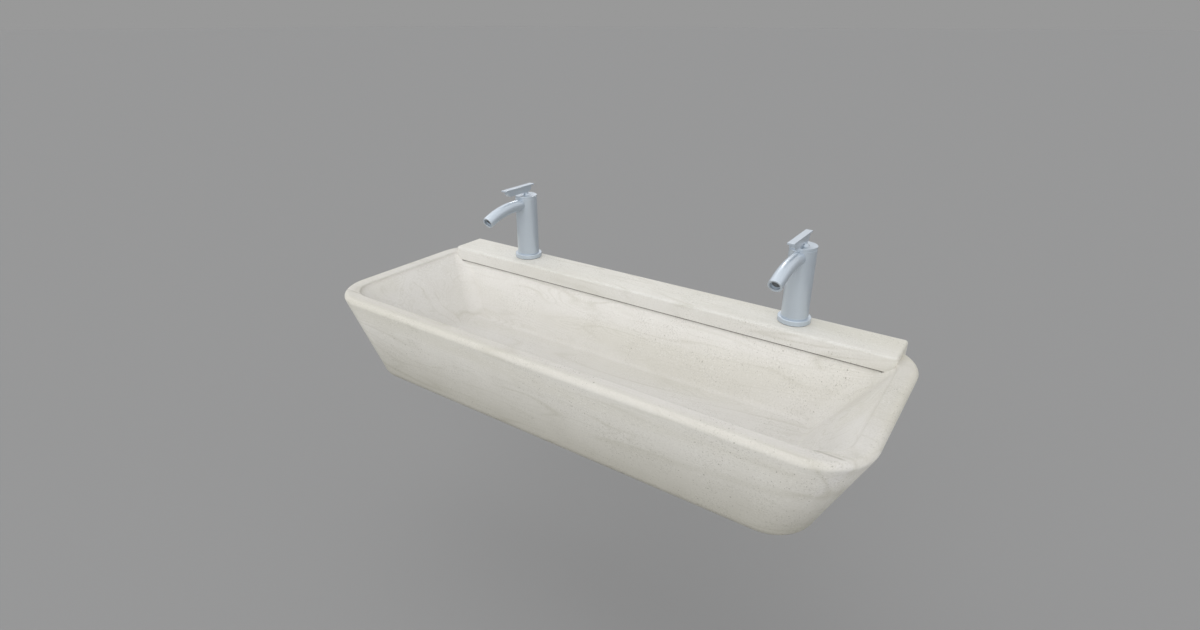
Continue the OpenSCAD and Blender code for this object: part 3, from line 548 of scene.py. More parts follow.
def honedStone(name, hasRim):
    look, size, span = stoneLook, stoneGrain, stoneRange
    m, n, k, shader, at = newMaterial(name)
    outer, x, y, z = outerWallMask(n, k, at)
    grain = useGroup(n, k, "grain", at, Scale=size["grain"])
    cloud = noise(n, k, at, *size["cloud"]).outputs["Fac"]
    color = mixColor(n, k, rangeOf(n, k, cloud, *span["cloud"], 0, 1), look["light"], look["dark"])
    darker = rangeOf(n, k, grain["Fine"], *span["grain"], 0, look["darkShare"])
    color = mixColor(n, k, darker, color, look["dark"])
    turn = n.new("ShaderNodeMapping")  # the bed of the stone runs along the block, a little aslant
    turn.inputs["Rotation"].default_value = size["bedTurn"]
    turn.inputs["Scale"].default_value = size["bedStretch"]
    k.new(at, turn.inputs["Vector"])
    veins = useGroup(n, k, "veins", turn.outputs[0], **size["veins"])
    fineVeins = useGroup(n, k, "veins", turn.outputs[0], **size["fineVeins"])
    band = rangeOf(n, k, veins["Wave"], *span["band"], 0, look["bandShare"], True)
    color = mixColor(n, k, band, color, look["band"])
    fineLines = math1(n, k, "MULTIPLY", fineVeins["Line"], size["fineVeinShare"])
    lines = math1(n, k, "MAXIMUM", veins["Line"], fineLines)
    color = mixColor(n, k, math1(n, k, "MULTIPLY", lines, look["lineShare"]), color, look["line"])
    pale = useGroup(n, k, "specks", at, **size["pale"])["Mask"]
    color = mixColor(n, k, math1(n, k, "MULTIPLY", pale, look["paleShare"]), color, look["pale"])
    # specks and pits gather on the outside and towards the right end
    patch = noise(n, k, at, *size["patch"]).outputs["Fac"]
    place = math1(n, k, "MULTIPLY_ADD", x, size["moreRight"], patch)
    place = math1(n, k, "MULTIPLY_ADD", outer, size["moreOutside"], place)
    specks = useGroup(n, k, "specks", at, **size["dark"])["Mask"]
    specks = math1(n, k, "MULTIPLY", specks, rangeOf(n, k, place, *span["specks"], look["speckLeast"], 1))
    color = mixColor(n, k, math1(n, k, "MULTIPLY", specks, look["speckShare"]), color, look["speck"])
    small = useGroup(n, k, "pits", at, **size["smallPits"])["Mask"]
    large = useGroup(n, k, "pits", at, **size["largePits"])["Mask"]
    pitted = math1(n, k, "MULTIPLY", math1(n, k, "MAXIMUM", small, large),
                   rangeOf(n, k, place, *span["pits"], 0, look["pitShare"]))
    color = mixColor(n, k, pitted, color, look["pit"])
    if hasRim:  # the bowl reads a little cooler than the outside
        color = mixColor(n, k, outer, mixColor(n, k, 1.0, color, look["inside"], "MULTIPLY"), color)
    # painted shade: the outside of the stone grows darker towards its foot
    low = math1(n, k, "MULTIPLY", outer, rangeOf(n, k, z, *span["foot"], 0, 1))
    color = tinted(n, k, low, color, look["foot"])
    if hasRim:  # painted shade: the rim's top is a little darker, and a broken dark line of painted shade runs along the front of its inner edge
        color = tinted(n, k, rangeOf(n, k, z, *span["rim"], 0, 1), color, look["rim"])
        # painted shade: a broken dark line along the front of the rim's inner edge, where the bowl falls away
        off = math1(n, k, "ABSOLUTE", math1(n, k, "ADD", y, edgeLineY))
        line = math1(n, k, "MULTIPLY", rangeOf(n, k, off, *span["edgeOff"], 1, 0),
                     rangeOf(n, k, z, *span["edgeShadeLine"], 0, 1))
        breaks = noise(n, k, at, *size["lineBreaks"]).outputs["Fac"]
        line = math1(n, k, "MULTIPLY", line, rangeOf(n, k, breaks, *span["lineBreaks"], look["edgeLeast"], 1))
        color = mixColor(n, k, math1(n, k, "MULTIPLY", line, look["edgeShare"]), color, look["edgeShadeLine"])
    else:  # painted shade: the ledge's front is a little darker; a dark joint line runs along its foot, partly painted shade of the gap beneath
        color = tinted(n, k, rangeOf(n, k, y, *span["face"], 1, 0), color, look["face"])
        # a dark joint line along the ledge's foot, partly painted shade of the overhung gap beneath
        color = mixColor(n, k, rangeOf(n, k, z, *span["joint"], look["jointShare"], 0), color, look["joint"])
    k.new(color, shader.inputs["Base Color"])
    k.new(rangeOf(n, k, grain["Fine"], *span["polish"], *look["rough"]), shader.inputs["Roughness"])
    shader.inputs["Specular IOR Level"].default_value = look["specular"]
    holes = math1(n, k, "MAXIMUM", pitted, math1(n, k, "MULTIPLY", specks, look["speckDepth"]))
    fineDepth = math1(n, k, "MULTIPLY", grain["Fine"], look["grainDepth"])
    bumpFrom(n, k, math1(n, k, "MULTIPLY_ADD", holes, -1.0, fineDepth), shader, *look["bump"])
    return m


plainBump = 0.3


def grainedFinish(name, light, dark, rough, metallic=0.0, scale=160.0, stretch=(1, 1, 1), depth=0.00005):
    m, n, k, shader, at = newMaterial(name)
    grain = useGroup(n, k, "grain", at, Scale=scale, Stretch=stretch)
    span = stoneRange["polish"]
    cloud = rangeOf(n, k, grain["Broad"], *span, 0, 1)
    k.new(mixColor(n, k, cloud, light, dark), shader.inputs["Base Color"])
    k.new(rangeOf(n, k, grain["Fine"], *span, *rough), shader.inputs["Roughness"])
    shader.inputs["Metallic"].default_value = metallic
    bumpFrom(n, k, grain["Fine"], shader, plainBump, depth)
    return m


# each finish: name, two colours, range of roughness, and where they differ metallic, grain, stretch and depth
plainFinishes = {
    "joint_filler": ("beddingFiller", (0.30, 0.29, 0.27), (0.22, 0.21, 0.20), (0.6, 0.75)),
    "bracket_steel": ("coatedBracket", (0.17, 0.175, 0.18), (0.13, 0.135, 0.14), (0.42, 0.55), 0.0, 420.0),
    "plain_steel": ("plainSteel", (0.60, 0.60, 0.60), (0.50, 0.50, 0.50), (0.28, 0.42), 1.0, 300.0,
                    (1, 1, 6)),
    "black_rubber": ("blackRubber", (0.035, 0.035, 0.035), (0.02, 0.02, 0.02), (0.7, 0.85)),
    "brass": ("turnedBrass", (0.80, 0.62, 0.33), (0.68, 0.50, 0.25), (0.24, 0.36), 1.0, 300.0, (1, 1, 5)),
    "white_nylon": ("whiteNylon", (0.80, 0.79, 0.75), (0.72, 0.71, 0.67), (0.4, 0.5)),
    "dark_nylon": ("darkNylon", (0.13, 0.14, 0.15), (0.10, 0.108, 0.115), (0.4, 0.5)),
    "disc_ceramic": ("lappedCeramic", (0.88, 0.87, 0.84), (0.82, 0.81, 0.78), (0.15, 0.25)),
    "tap_metal": ("platedMetal", (0.508, 0.569, 0.632), (0.489, 0.548, 0.61), (0.42, 0.50), 0.65, 60.0,
                  (1, 1, 1), 0.00003),
}
finishes = {"stone": honedStone("honedStone", False)}
for slotName, spec in plainFinishes.items():
    finishes[slotName] = grainedFinish(*spec)
tapPolish = {"Coat Weight": 0.8, "Coat Roughness": 0.12}  # it keeps sharp lights over the satin plating
for label, value in tapPolish.items():
    finishes["tap_metal"].node_tree.nodes["Principled BSDF"].inputs[label].default_value = value
slotOf = {s["node"]: s["material_slot"] for s in frame["record"]["subparts"]}
for name, obj in frame["nodes"].items():
    obj.data.materials.clear()
    obj.data.materials.append(finishes[slotOf[name]])
rimmedStone = honedStone("honedBasinStone", True)
print("stage: materials")

# basin
basinSize = {"cornerSteps": 18, "rimTop": 130, "wallLevels": [-20, 20, 60, 95, 111],
             "footArc": (-90, -80, -70, -60, -50, -41, -33, -24.4, -18, -11.6, -5, 0),
             "rimArc": (-24.4, -12, 0, 12, 24, 36, 48, 60, 72, 82, 90), "lip": 5, "lipCorners": (64, 26),
             "lipArc": (90, 75, 60, 45, 30, 15), "bowlLevels": [125, 105, 80, 55, 30, 12],
             "bowlArc": (-8, -17, -25, -33, -41, -50, -60, -70, -80, -90), "sharp": 32,
             "seat": ((-561.12, -88.12, 108.5), (561.12, 5, 140)), "seatR": 9.12, "seatSteps": 8,
             "hollow": ((-470, -65, -72), (470, 5, 80)), "hollowLean": 47.63, "under": -80,
             "groove": (415, 36, -366, -60, -58), "inserts": (-150, -330), "insert": (6.05, -60, -38),
             "waste": (0, -305), "wasteHole": 23, "wasteRecess": (55, -50), "flangeRecess": (34, -17)}
tapHole = {"x": 350, "y": -35, "radius": 17.5, "deck": (70, 120), "ledge": (100, 150)}
# each wall runs from a round along its top to one along its foot: reach, height and radius
outerWalls = {"topZ": 120, "lowZ": -44,
              "end": ((590, 120, 10), (498, -44, 26)), "front": ((450, 120, 10), (400, -44, 26)),
              "back": ((-10, 120, 10), (-26, -44, 26)),
              "corners": {"frontX": (500, 444), "frontY": (360, 346), "backX": (500, 444),
                          "backY": (-100, -80)}}
bowlWalls = {"topZ": 125, "lowZ": 1,
             "end": ((564, 125, 0), (438.5, 1, 14)), "front": ((424, 125, 0), (384, 1, 14)),
             "back": ((-75.5, 125, 0), (-146, 1, 14)),
             "corners": {"frontX": (500, 418.5), "frontY": (360, 364), "backX": (538, 418.5),
                         "backY": (-101.5, -166)}}


def arcLevels(walls, part, angles):
    # heights along the round at the top (0) or the foot (1) of the walls
    z, radius = walls["end"][part][1:]
    return [z + radius * math.sin(math.radians(a)) for a in angles]


def cutTapHole(obj, side, slab):
    at = (side * tapHole["x"], tapHole["y"])
    cutWith(obj, rod("tapHole", tapHole["radius"], *tapHole[slab], at))


def makeBasin():
    s = basinSize
    levels = arcLevels(outerWalls, 1, s["footArc"]) + s["wallLevels"]
    levels += arcLevels(outerWalls, 0, s["rimArc"])
    shapes = [wallLevel(z, outerWalls) for z in levels]
    reach, front, back = [bowlWalls[side][0][0] for side in ("end", "front", "back")]
    lip = (reach, front, back, *s["lipCorners"])
    for turn in s["lipArc"]:  # rounded inner edge of the rim
        grow = s["lip"] * (1 - math.cos(math.radians(turn)))
        fall = s["lip"] * (1 - math.sin(math.radians(turn)))
        shapes.append((*[v + grow for v in lip], s["rimTop"] - fall))
    levels = s["bowlLevels"] + arcLevels(bowlWalls, 1, s["bowlArc"])
    shapes += [wallLevel(z, bowlWalls) for z in levels]
    obj = stackOutlines("basinStone", shapes, s["cornerSteps"])
    hollow = block("hollow", *s["hollow"])
    editMode(hollow)
    pick(hollow, "VERT", lambda v: v.co.z < 0 and v.co.y < 0)
    bpy.ops.transform.translate(value=(0, -s["hollowLean"] * mm, 0))
    objectMode()
    seat = block("seat", *s["seat"])
    editMode(seat)
    upright = lambda e: e.verts[0].co.xy == e.verts[1].co.xy
    pick(seat, "EDGE", lambda e: upright(e) and edgeMiddle(e).y < 0)
    bpy.ops.mesh.bevel(offset=s["seatR"] * mm, segments=s["seatSteps"], affect="EDGES")
    objectMode()
    cutWith(obj, seat, hollow)
    grooveX, half, near, far, grooveTop = s["groove"]
    for side in (-1, 1):
        cutTapHole(obj, side, "deck")
        middle = side * grooveX
        cutWith(obj, block("groove", (middle - half, near, s["under"]), (middle + half, far, grooveTop)))
        for y in s["inserts"]:
            cutWith(obj, rod("insertHole", *s["insert"], (middle, y), sideCount["port"]))
    recess, recessTop = s["wasteRecess"]
    flange, flangeFoot = s["flangeRecess"]
    cutWith(obj, rod("wasteHole", s["wasteHole"], s["under"], 0, s["waste"]),
            rod("wasteRecess", recess, s["under"], recessTop, s["waste"]),
            rod("flangeRecess", flange, flangeFoot, 0, s["waste"]))
    smooth(obj, s["sharp"])
    return dress(obj, "sink", "stone", "basin", finish=rimmedStone)


makeBasin()
print("stage: basin")

# tap ledge
ledgeSize = {"reach": 561, "depth": 88, "foot": 110, "top": 145, "frontR": 9, "backR": 3, "topRound": 6,
             "backRound": 2, "footRound": 0.5, "footArc": (0, 30, 60, 90), "topArc": range(0, 91, 10),
             "cornerSteps": 8, "sharp": 32}


def makeLedge():
    s = ledgeSize
    shapes = []

    def level(inset, back, z):
        reach, depth, frontR = [s[k] - inset for k in ("reach", "depth", "frontR")]
        shapes.append((reach, depth, -back, frontR, s["backR"] - back, z))

    for turn in s["footArc"]:
        inset = s["footRound"] * (1 - math.sin(math.radians(turn)))
        level(inset, inset, s["foot"] + s["footRound"] * (1 - math.cos(math.radians(turn))))
    for turn in s["topArc"]:
        inset = s["topRound"] * (1 - math.cos(math.radians(turn)))
        z = s["top"] - s["topRound"] * (1 - math.sin(math.radians(turn)))
        over = max(z - (s["top"] - s["backRound"]), 0)
        level(inset, s["backRound"] - math.sqrt(s["backRound"] ** 2 - over ** 2), z)
    obj = stackOutlines("ledgeStone", shapes, s["cornerSteps"])
    for side in (-1, 1):
        cutTapHole(obj, side, "ledge")
    smooth(obj, s["sharp"])
    return dress(obj, "sink", "stone", "ledge")


makeLedge()
print("stage: ledge")

# taps: the left one is modelled and the right one is its copy
tapSize = {"at": (-350, -35, 145), "apart": 700}


def onTap(name, stations, ring=False, sides=sideCount["tap"]):
    return turned(name, stations, tapSize["at"], sides, ring)


ringSize = {"radius": 33, "foot": 1, "top": 11, "edge": 1.2, "edgeArc": (0, 22, 45, 68, 90), "chamfer": 0.4,
            "bore": 23.05}


def makeBaseRing():
    s = ringSize
    r, e, foot, top, c = s["radius"], s["edge"], s["foot"], s["top"], s["chamfer"]
    turns = [math.radians(a) for a in s["edgeArc"]]
    edge = [(r - e * (1 - math.cos(a)), top - e * (1 - math.sin(a))) for a in turns]
    stations = [(s["bore"], foot), (r - c, foot), (r, foot + c)] + edge + [(s["bore"], top)]
    obj = onTap("left_tap_flange", stations, True)
    smooth(obj)
    return obj


bodySize = {"radius": 27, "spigot": (23, 1), "foot": 11, "top": 153.7, "groove": 26.2, "rimTop": 154.5,
            "edge": 0.4, "capBore": (20.05, 148), "chamber": (17.55, 124), "socket": 14.05,
            "socketAt": (-21.5, -41.5, 139), "ports": ((-7.5, -5, 4.5), (7.5, -5, 4.5), (0, 11, 4.05)),
            "portRise": (-2, 13)}


def makeTapBody():
    s = bodySize
    r, e, foot, top, groove, rimTop = [s[k] for k in ("radius", "edge", "foot", "top", "groove", "rimTop")]
    x, y, z = tapSize["at"]
    spigot, spigotFoot = s["spigot"]
    bore, boreFoot = s["capBore"]
    chamber, chamberFoot = s["chamber"]
    outside = [(spigot, spigotFoot), (spigot, foot), (r - e, foot), (r, foot + e), (r, top - e), (r - e, top),
               (groove, top), (groove, rimTop)]
    inside = [(bore, rimTop), (bore, boreFoot), (chamber, boreFoot), (chamber, chamberFoot)]
    obj = onTap("left_tap_column", outside + inside)
    near, far, height = s["socketAt"]
    cutWith(obj, levelRod("socket", s["socket"], y + near, y + far, x, z + height))
    portFoot, portTop = s["portRise"]
    for dx, dy, portR in s["ports"]:
        cutWith(obj, rod("port", portR, z + portFoot, z + portTop, (x + dx, y + dy), sideCount["port"]))
    smooth(obj)
    return obj


spoutSize = {"radius": 14, "bore": 10, "root": 21.55, "straight": 50, "height": 139, "reach": 140,
             "drop": 19.5, "mouthDepth": 13, "bendSteps": 20,
             "lips": {"radius": (0.9, 4), "bore": (0.63, 3)}}


def makeSpout():
    s = spoutSize
    x, y, z = tapSize["at"]
    run = s["reach"] - s["straight"]
    bend = 2 * math.atan(s["drop"] / run)
    bendR = run / math.sin(bend)
    deselectAll()
    bpy.ops.mesh.primitive_circle_add(vertices=sideCount["rod"], radius=s["radius"] * mm, fill_type="NOTHING",
                                      location=(x * mm, (y - s["root"]) * mm, (z + s["height"]) * mm),
                                      rotation=(math.radians(90), 0, 0))
    obj = settle(bpy.context.object, "left_tap_spout")
    editMode(obj, True)
    straight = (0, (s["root"] - s["straight"]) * mm, 0)
    bpy.ops.mesh.extrude_region_move(TRANSFORM_OT_translate={"value": straight})
    centre = (x * mm, (y - s["straight"]) * mm, (z + s["height"] - bendR) * mm)
    bpy.ops.mesh.spin(steps=s["bendSteps"], angle=-bend, center=centre, axis=(1, 0, 0))
    mouth = Vector((x, y - s["reach"], z + s["height"] - s["drop"]))
    out = Vector((0, -math.cos(bend), -math.sin(bend)))
    inMouth = lambda v: abs((v.co / mm - mouth).dot(out)) < 0.05
    pick(obj, "VERT", inMouth)
    bpy.ops.mesh.extrude_region_move(TRANSFORM_OT_translate={"value": (0, 0, 0)})
    share = s["bore"] / s["radius"]
    bpy.ops.transform.resize(value=(share, share, share), center_override=mouth * mm)
    bpy.ops.mesh.extrude_region_move(TRANSFORM_OT_translate={"value": out * (-s["mouthDepth"] * mm)})
    bpy.ops.mesh.edge_face_add()
    pick(obj, "VERT", lambda v: abs(v.co.y / mm - (y - s["root"])) < 0.01)
    bpy.ops.mesh.edge_face_add()
    objectMode()
    facesOut(obj)
    editMode(obj)
    away = lambda e: (edgeMiddle(e) - mouth).length
    for kind, (width, steps) in s["lips"].items():
        pick(obj, "EDGE", lambda e: all(inMouth(v) for v in e.verts) and abs(away(e) - s[kind]) < 1)
        bpy.ops.mesh.bevel(offset=width * mm, segments=steps, affect="EDGES")
    objectMode()
    smooth(obj)
    return obj


capSize = {"radius": 27, "foot": 154.5, "top": 160, "edge": ((0, 0.8), (0.184, 0.24), (0.8, 0)),
           "chamfer": 0.3, "innerEdge": 0.5, "ball": 13.4, "pivot": 152,
           "bowlLevels": (159.7, 158.6, 157.4, 156, 154.5), "lip": (16, 19.95, 152.5)}


def makeTapCap():
    s = capSize
    r, top, foot, c = s["radius"], s["top"], s["foot"], s["chamfer"]
    lipIn, lipOut, lipFoot = s["lip"]
    under = [(lipIn, lipFoot), (lipOut, lipFoot), (lipOut, foot), (r - c, foot), (r, foot + c)]
    edge = [(r - inset, top - fall) for inset, fall in s["edge"]]
    bowl = [(math.sqrt(s["ball"] ** 2 - (h - s["pivot"]) ** 2), h) for h in s["bowlLevels"]]
    edge.append((bowl[0][0] + s["innerEdge"], top))
    obj = onTap("left_tap_cap_disc", under + edge + bowl + [(lipIn, foot)], True)
    smooth(obj)
    return obj


hubSize = {"ball": 13, "pivot": 152, "foot": 153.5, "steps": 12, "neck": 6.5, "ribFoot": 167,
           "spigot": (4, 174), "socket": (8.5, 159.5), "square": 2.55, "squareRise": (150, 164.55)}


def makeLeverHub():
    s = hubSize
    x, y, z = tapSize["at"]
    reachUp = math.degrees(math.acos(s["neck"] / s["ball"]))
    start = math.degrees(math.asin((s["foot"] - s["pivot"]) / s["ball"]))
    arc = [math.radians(start + (reachUp - start) * i / s["steps"]) for i in range(s["steps"] + 1)]
    dome = [(s["ball"] * math.cos(a), s["pivot"] + s["ball"] * math.sin(a)) for a in arc]
    r, roof = s["socket"]
    spigot, spigotTop = s["spigot"]
    upper = [(s["neck"], s["ribFoot"]), (spigot, s["ribFoot"]), (spigot, spigotTop)]
    obj = onTap("left_lever_dome", [(r, roof), (r, s["foot"])] + dome + upper, sides=sideCount["rod"])
    q = s["square"]
    low, high = s["squareRise"]
    cutWith(obj, block("square", (x - q, y - q, z + low), (x + q, y + q, z + high)))
    smooth(obj)
    return obj


leverSize = {"plate": ((-7, -80, 180.5), (7, 24, 184)), "rib": ((-5.5, -70, 167), (5.5, 15, 181)),
             "noseFoot": (-64, 167), "noseTop": (-68, 180.5), "heelFoot": (8, 167), "heelTop": (15, 174),
             "soft": (0.45, 3), "spigot": (4.05, 166, 174.05), "screw": (2.05, 4, 40, 170.5), "sharp": 40}


def cutAway(obj, a, b):
    # takes off what lies below the line from a to b in side view
    x, y, z = tapSize["at"]
    alongY, alongZ = b[0] - a[0], b[1] - a[1]
    onLine = (x * mm, (y + a[0]) * mm, (z + a[1]) * mm)
    editMode(obj, True)
    bpy.ops.mesh.bisect(plane_co=onLine, plane_no=(0, -alongZ, alongY), use_fill=True,
                        clear_inner=alongY > 0, clear_outer=alongY < 0)
    objectMode()


def makeLever():
    s = leverSize
    x, y, z = tapSize["at"]
    place = lambda corner: (x + corner[0], y + corner[1], z + corner[2])
    obj = block("left_lever_plate", *[place(c) for c in s["plate"]])
    rib = block("rib", *[place(c) for c in s["rib"]])
    cutAway(rib, s["noseFoot"], s["noseTop"])
    cutAway(rib, s["heelFoot"], s["heelTop"])
    combine(obj, rib, "UNION")
    softEdges(obj, *s["soft"])
    r, foot, top = s["spigot"]
    cutWith(obj, rod("spigotHole", r, z + foot, z + top, (x, y), sideCount["screw"]))
    r, near, far, height = s["screw"]
    cutWith(obj, levelRod("screwHole", r, y + near, y + far, x, z + height, sideCount["port"]))
    smooth(obj, s["sharp"])
    return obj


fixedPieces = {"base_ring": makeBaseRing, "tap_body": makeTapBody, "spout": makeSpout, "tap_cap": makeTapCap}
leverPieces = {"lever_hub": makeLeverHub, "lever": makeLever}
for nodeName, make in (fixedPieces | leverPieces).items():
    leftPiece = make()
    rightPiece = twin(leftPiece, leftPiece.name.replace("left", "right"), tapSize["apart"])
    for side, piece in (("left", leftPiece), ("right", rightPiece)):
        bodyName = side + "_lever_body" if nodeName in leverPieces else "sink"
        dress(piece, bodyName, "tap_metal", side + "_" + nodeName)
print("stage: taps")

# brackets: the left one is welded up and the right one is its copy
bracketSize = {"x": -415, "apart": 830, "width": 70, "foot": -70, "armT": 10, "armL": 365, "plateT": 8,
               "top": 66, "corner": 8, "cornerSteps": 6, "soft": (0.7, 2), "cheekT": 6, "cheekNose": (-100, -52),
               "cheekTop": (-8, 50), "cheekInto": 1, "wallHole": 6.5, "wallRise": 40, "armHole": 4.5,
               "armHoles": (-150, -330)}
beadSize = {"radius": 2.4, "step": 3.2, "crest": 0.35, "dip": 0.85, "dipR": 2.112, "endR": 1.2, "into": 1,
            "gapAlong": 6, "gapUp": 8, "sharp": 60}


def weldBead(length):
    # a rippled bead, upright from the origin
    s = beadSize
    count = int(length / s["step"])
    ripple = length / count
    stations = [(s["endR"], 0)]
    for i in range(count):
        stations += [(s["radius"], (i + s["crest"]) * ripple), (s["dipR"], (i + s["dip"]) * ripple)]
    return turned("bead", stations + [(s["endR"], length)], sides=sideCount["bead"])


def roundCorners(obj, test):
    editMode(obj)
    pick(obj, "EDGE", test)
    bpy.ops.mesh.bevel(offset=bracketSize["corner"] * mm, segments=bracketSize["cornerSteps"], affect="EDGES")
    objectMode()


def placeBead(length, turn, at):
    bead = weldBead(length)
    bead.rotation_euler = [math.radians(a) for a in turn]
    bead.location = [v * mm for v in at]
    return settle(bead)


def makeBracket():
    s = bracketSize
    x, half, foot, armTop = s["x"], s["width"] / 2, s["foot"], s["foot"] + s["armT"]
    atSide = lambda e: abs(edgeMiddle(e).x - x) > half - 1
    obj = block("left_wall_bracket", (x - half, -s["plateT"], foot), (x + half, 0, s["top"]))
    roundCorners(obj, lambda e: atSide(e) and edgeMiddle(e).z > s["top"] - 1)
    arm = block("arm", (x - half, -s["armL"], foot), (x + half, 0, armTop))
    roundCorners(arm, lambda e: atSide(e) and edgeMiddle(e).y < 1 - s["armL"])
    combine(obj, arm, "UNION")
    noseY, noseZ = s["cheekNose"]
    topY, topZ = s["cheekTop"]
    into = beadSize["into"]
    rootY, rootZ = -s["plateT"] - into, armTop + into
    beads = []
    for side in (-1, 1):
        inner = x + side * (half - s["cheekT"])
        near, far = sorted((inner, x + side * half))
        deep = s["cheekInto"]
        cheek = block("cheek", (near, noseY, armTop - deep), (far, -deep, topZ))
        editMode(cheek, True)
        bpy.ops.mesh.bisect(plane_co=(x * mm, noseY * mm, noseZ * mm), use_fill=True, clear_outer=True,
                            plane_no=(0, noseZ - topZ, topY - noseY))
        objectMode()
        combine(obj, cheek, "UNION")
        beadX = inner - side * into
        along = -noseY - s["plateT"] - beadSize["gapAlong"]
        beads.append(placeBead(along, (90, 0, 0), (beadX, rootY, rootZ)))
        up = topZ - armTop - beadSize["gapUp"]
        beads.append(placeBead(up, (0, 0, 0), (beadX, rootY, rootZ + into)))
    reach = half - s["cheekT"] - into
    beads.append(placeBead(2 * reach, (0, 90, 0), (x - reach, rootY, rootZ)))
    softEdges(obj, *s["soft"])
    sides = sideCount["screw"]
    for rise in (-s["wallRise"], s["wallRise"]):
        cutWith(obj, levelRod("wallHole", s["wallHole"], past, -s["plateT"] - past, x, rise, sides))
    for y in s["armHoles"]:
        cutWith(obj, rod("armHole", s["armHole"], foot - past, armTop + past, (x, y), sides))
    smooth(obj)
    for bead in beads:
        smooth(bead, beadSize["sharp"], False)
    return joinInto(obj, *beads)


leftBracket = makeBracket()
rightBracket = twin(leftBracket, "right_wall_bracket", bracketSize["apart"])
dress(leftBracket, "sink", "bracket_steel", "left_bracket")
dress(rightBracket, "sink", "bracket_steel", "right_bracket")
print("stage: brackets")

# bolts under the arms and nuts on the studs and the waste
boltSize = {"x": 415, "ys": (-150, -330), "flats": 13, "head": (-76.9, -71.6), "shank": (4, -74.25, -44.25),
            "point": 0.8}


def makeBolts():
    s = boltSize
    r, foot, top = s["shank"]
    bolts = []
    for x in (-s["x"], s["x"]):
        for y in s["ys"]:
            if not bolts:
                bolt = hexagon("bracket_bolt_set", s["flats"], *s["head"], (x, y))
                stations = [(r, foot), (r, top - s["point"]), (r - s["point"], top)]
                combine(bolt, turned("shank", stations, (x, y, 0)), "UNION")
                smooth(bolt)
            else:
                bolt = twin(bolts[0], "otherBolt", x + s["x"], y - s["ys"][0])
            bolts.append(bolt)
    return joinInto(*bolts)


dress(makeBolts(), "sink", "plain_steel", "bracket_bolts")

nutSpecs = {"stud": {"flats": 13, "level": (66.5, 74.5), "bore": 4.05, "at": (-350, -24)},
            "waste": {"flats": 52, "level": (-62, -53), "bore": 21, "at": (0, -305)}}


def makeNut(name, flats, level, bore, at):
    obj = hexagon(name, flats, *level, at, True)
    cutWith(obj, rod("bore", bore, level[0] - past, level[1] + past, at))
    smooth(obj)
    return obj


studNut = makeNut("stud_nut_pair", **nutSpecs["stud"])
dress(joinInto(studNut, twin(studNut, "rightNut", tapSize["apart"])), "sink", "brass", "stud_nuts")
dress(makeNut("waste_ring_nut", **nutSpecs["waste"]), "sink", "brass", "waste_nut")
print("stage: bolts and nuts")

# the crowned plug cap
plugSize = {"at": (0, -305, -4), "radius": 30, "edge": ((1, 0), (0.3, 0.3), (0, 1)), "side": 2.5,
            "shoulder": ((0, 0), (0.4, 0.85), (1.1, 1.3)), "crown": 6, "fall": 2,
            "crownAt": (28, 25, 21, 16, 11, 6, 2.5, 0.6), "hole": (3.55, 3.05)}


def makePlugCap():
    s = plugSize
    r = s["radius"]
    foot = [(r - inset, rise) for inset, rise in s["edge"]]
    shoulder = [(r - inset, s["side"] + rise) for inset, rise in s["shoulder"]]
    crown = [(reach, s["crown"] - s["fall"] * (reach / s["crownAt"][0]) ** 2) for reach in s["crownAt"]]
    obj = turned("plug_crown", foot + shoulder + crown, s["at"], sideCount["tap"])
    bore, depth = s["hole"]
    x, y, z = s["at"]
    cutWith(obj, rod("plungerHole", bore, z - past, z + depth, (x, y), sideCount["screw"]))
    smooth(obj)
    return obj


dress(makePlugCap(), "plug", "tap_metal", "plug_cap")
print("stage: plug")

# plain floor and soft light
roomSpec = {"floorZ": -0.72, "floorSize": 300, "tone": 0.318, "sky": (0.985, 0.99, 1.0), "skyStrength": 0.56,
            "beyond": 1.0, "shown": (0.42, 1.14), "shownTop": 0.6}
deselectAll()
bpy.ops.mesh.primitive_plane_add(size=roomSpec["floorSize"], location=(0, 0, roomSpec["floorZ"]))
floor = bpy.context.object
floor.name = "studioFloor"
floorMat = bpy.data.materials.new("studioFloor")
floorMat.use_nodes = True
floorShader = floorMat.node_tree.nodes["Principled BSDF"]
floorShader.inputs["Base Color"].default_value = (roomSpec["tone"],) * 3 + (1,)
floorShader.inputs["Roughness"].default_value = 1.0
floorShader.inputs["Specular IOR Level"].default_value = 0.0
floor.data.materials.append(floorMat)

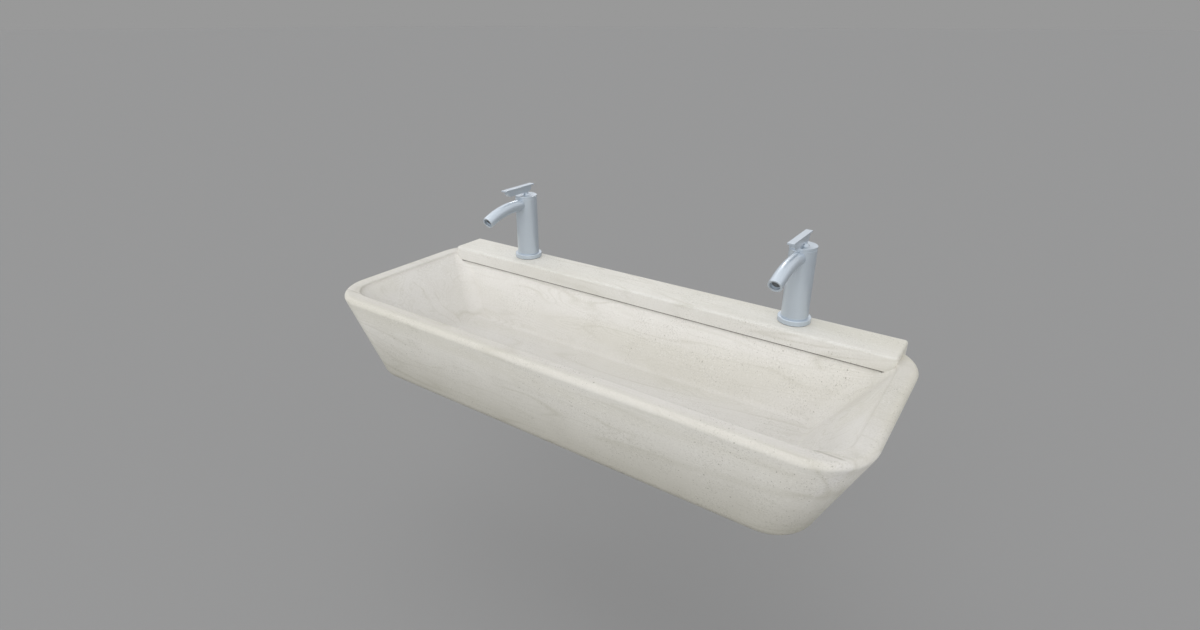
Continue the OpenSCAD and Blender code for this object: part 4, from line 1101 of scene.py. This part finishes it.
world = bpy.data.worlds.new("studioWorld")
bpy.context.scene.world = world
world.use_nodes = True
wn, wk = world.node_tree.nodes, world.node_tree.links
sky = wn["Background"]
sky.inputs["Color"].default_value = (*roomSpec["sky"], 1)
sky.inputs["Strength"].default_value = roomSpec["skyStrength"]
backdrop = wn.new("ShaderNodeBackground")  # what the camera sees beyond the floor
backdrop.inputs["Color"].default_value = (roomSpec["tone"],) * 3 + (1,)
backdrop.inputs["Strength"].default_value = roomSpec["beyond"]
ceiling = wn.new("ShaderNodeBackground")  # what the metal shows: the grey backdrop, paler overhead
ceiling.inputs["Color"].default_value = (*roomSpec["sky"], 1)
wayUp = wn.new("ShaderNodeSeparateXYZ")
wk.new(wn.new("ShaderNodeTexCoord").outputs["Generated"], wayUp.inputs[0])
wk.new(rangeOf(wn, wk, wayUp.outputs["Z"], 0, roomSpec["shownTop"], *roomSpec["shown"], True),
       ceiling.inputs["Strength"])
ray = wn.new("ShaderNodeLightPath")
shown = wn.new("ShaderNodeMixShader")
wk.new(ray.outputs["Is Glossy Ray"], shown.inputs[0])
wk.new(sky.outputs[0], shown.inputs[1])
wk.new(ceiling.outputs[0], shown.inputs[2])
either = wn.new("ShaderNodeMixShader")
seen = math1(wn, wk, "MAXIMUM", ray.outputs["Is Camera Ray"], ray.outputs["Is Transmission Ray"])
wk.new(seen, either.inputs[0])
wk.new(shown.outputs[0], either.inputs[1])
wk.new(backdrop.outputs[0], either.inputs[2])
wk.new(either.outputs[0], wn["World Output"].inputs["Surface"])

sunSpec = [{"name": "softKey", "tilt": (12, 0, -25), "angle": 50, "strength": 0.30},
           {"name": "frontFill", "tilt": (75, 0, 15), "angle": 80, "strength": 1.78},
           {"name": "rightFill", "tilt": (78, 0, 80), "angle": 60, "strength": 0.36},
           {"name": "leftFill", "tilt": (66, 0, -75), "angle": 80, "strength": 0.70},
           {"name": "farWindow", "tilt": (57.3, 0, -148.6), "angle": 8, "strength": 0.22}]
for spec in sunSpec:
    data = bpy.data.lights.new(spec["name"], "SUN")
    data.energy = spec["strength"]
    data.angle = math.radians(spec["angle"])
    lightObj = bpy.data.objects.new(spec["name"], data)
    bpy.context.scene.collection.objects.link(lightObj)
    lightObj.rotation_euler = [math.radians(a) for a in spec["tilt"]]
bpy.context.scene.view_settings.view_transform = "Standard"
print("stage: floor and light")
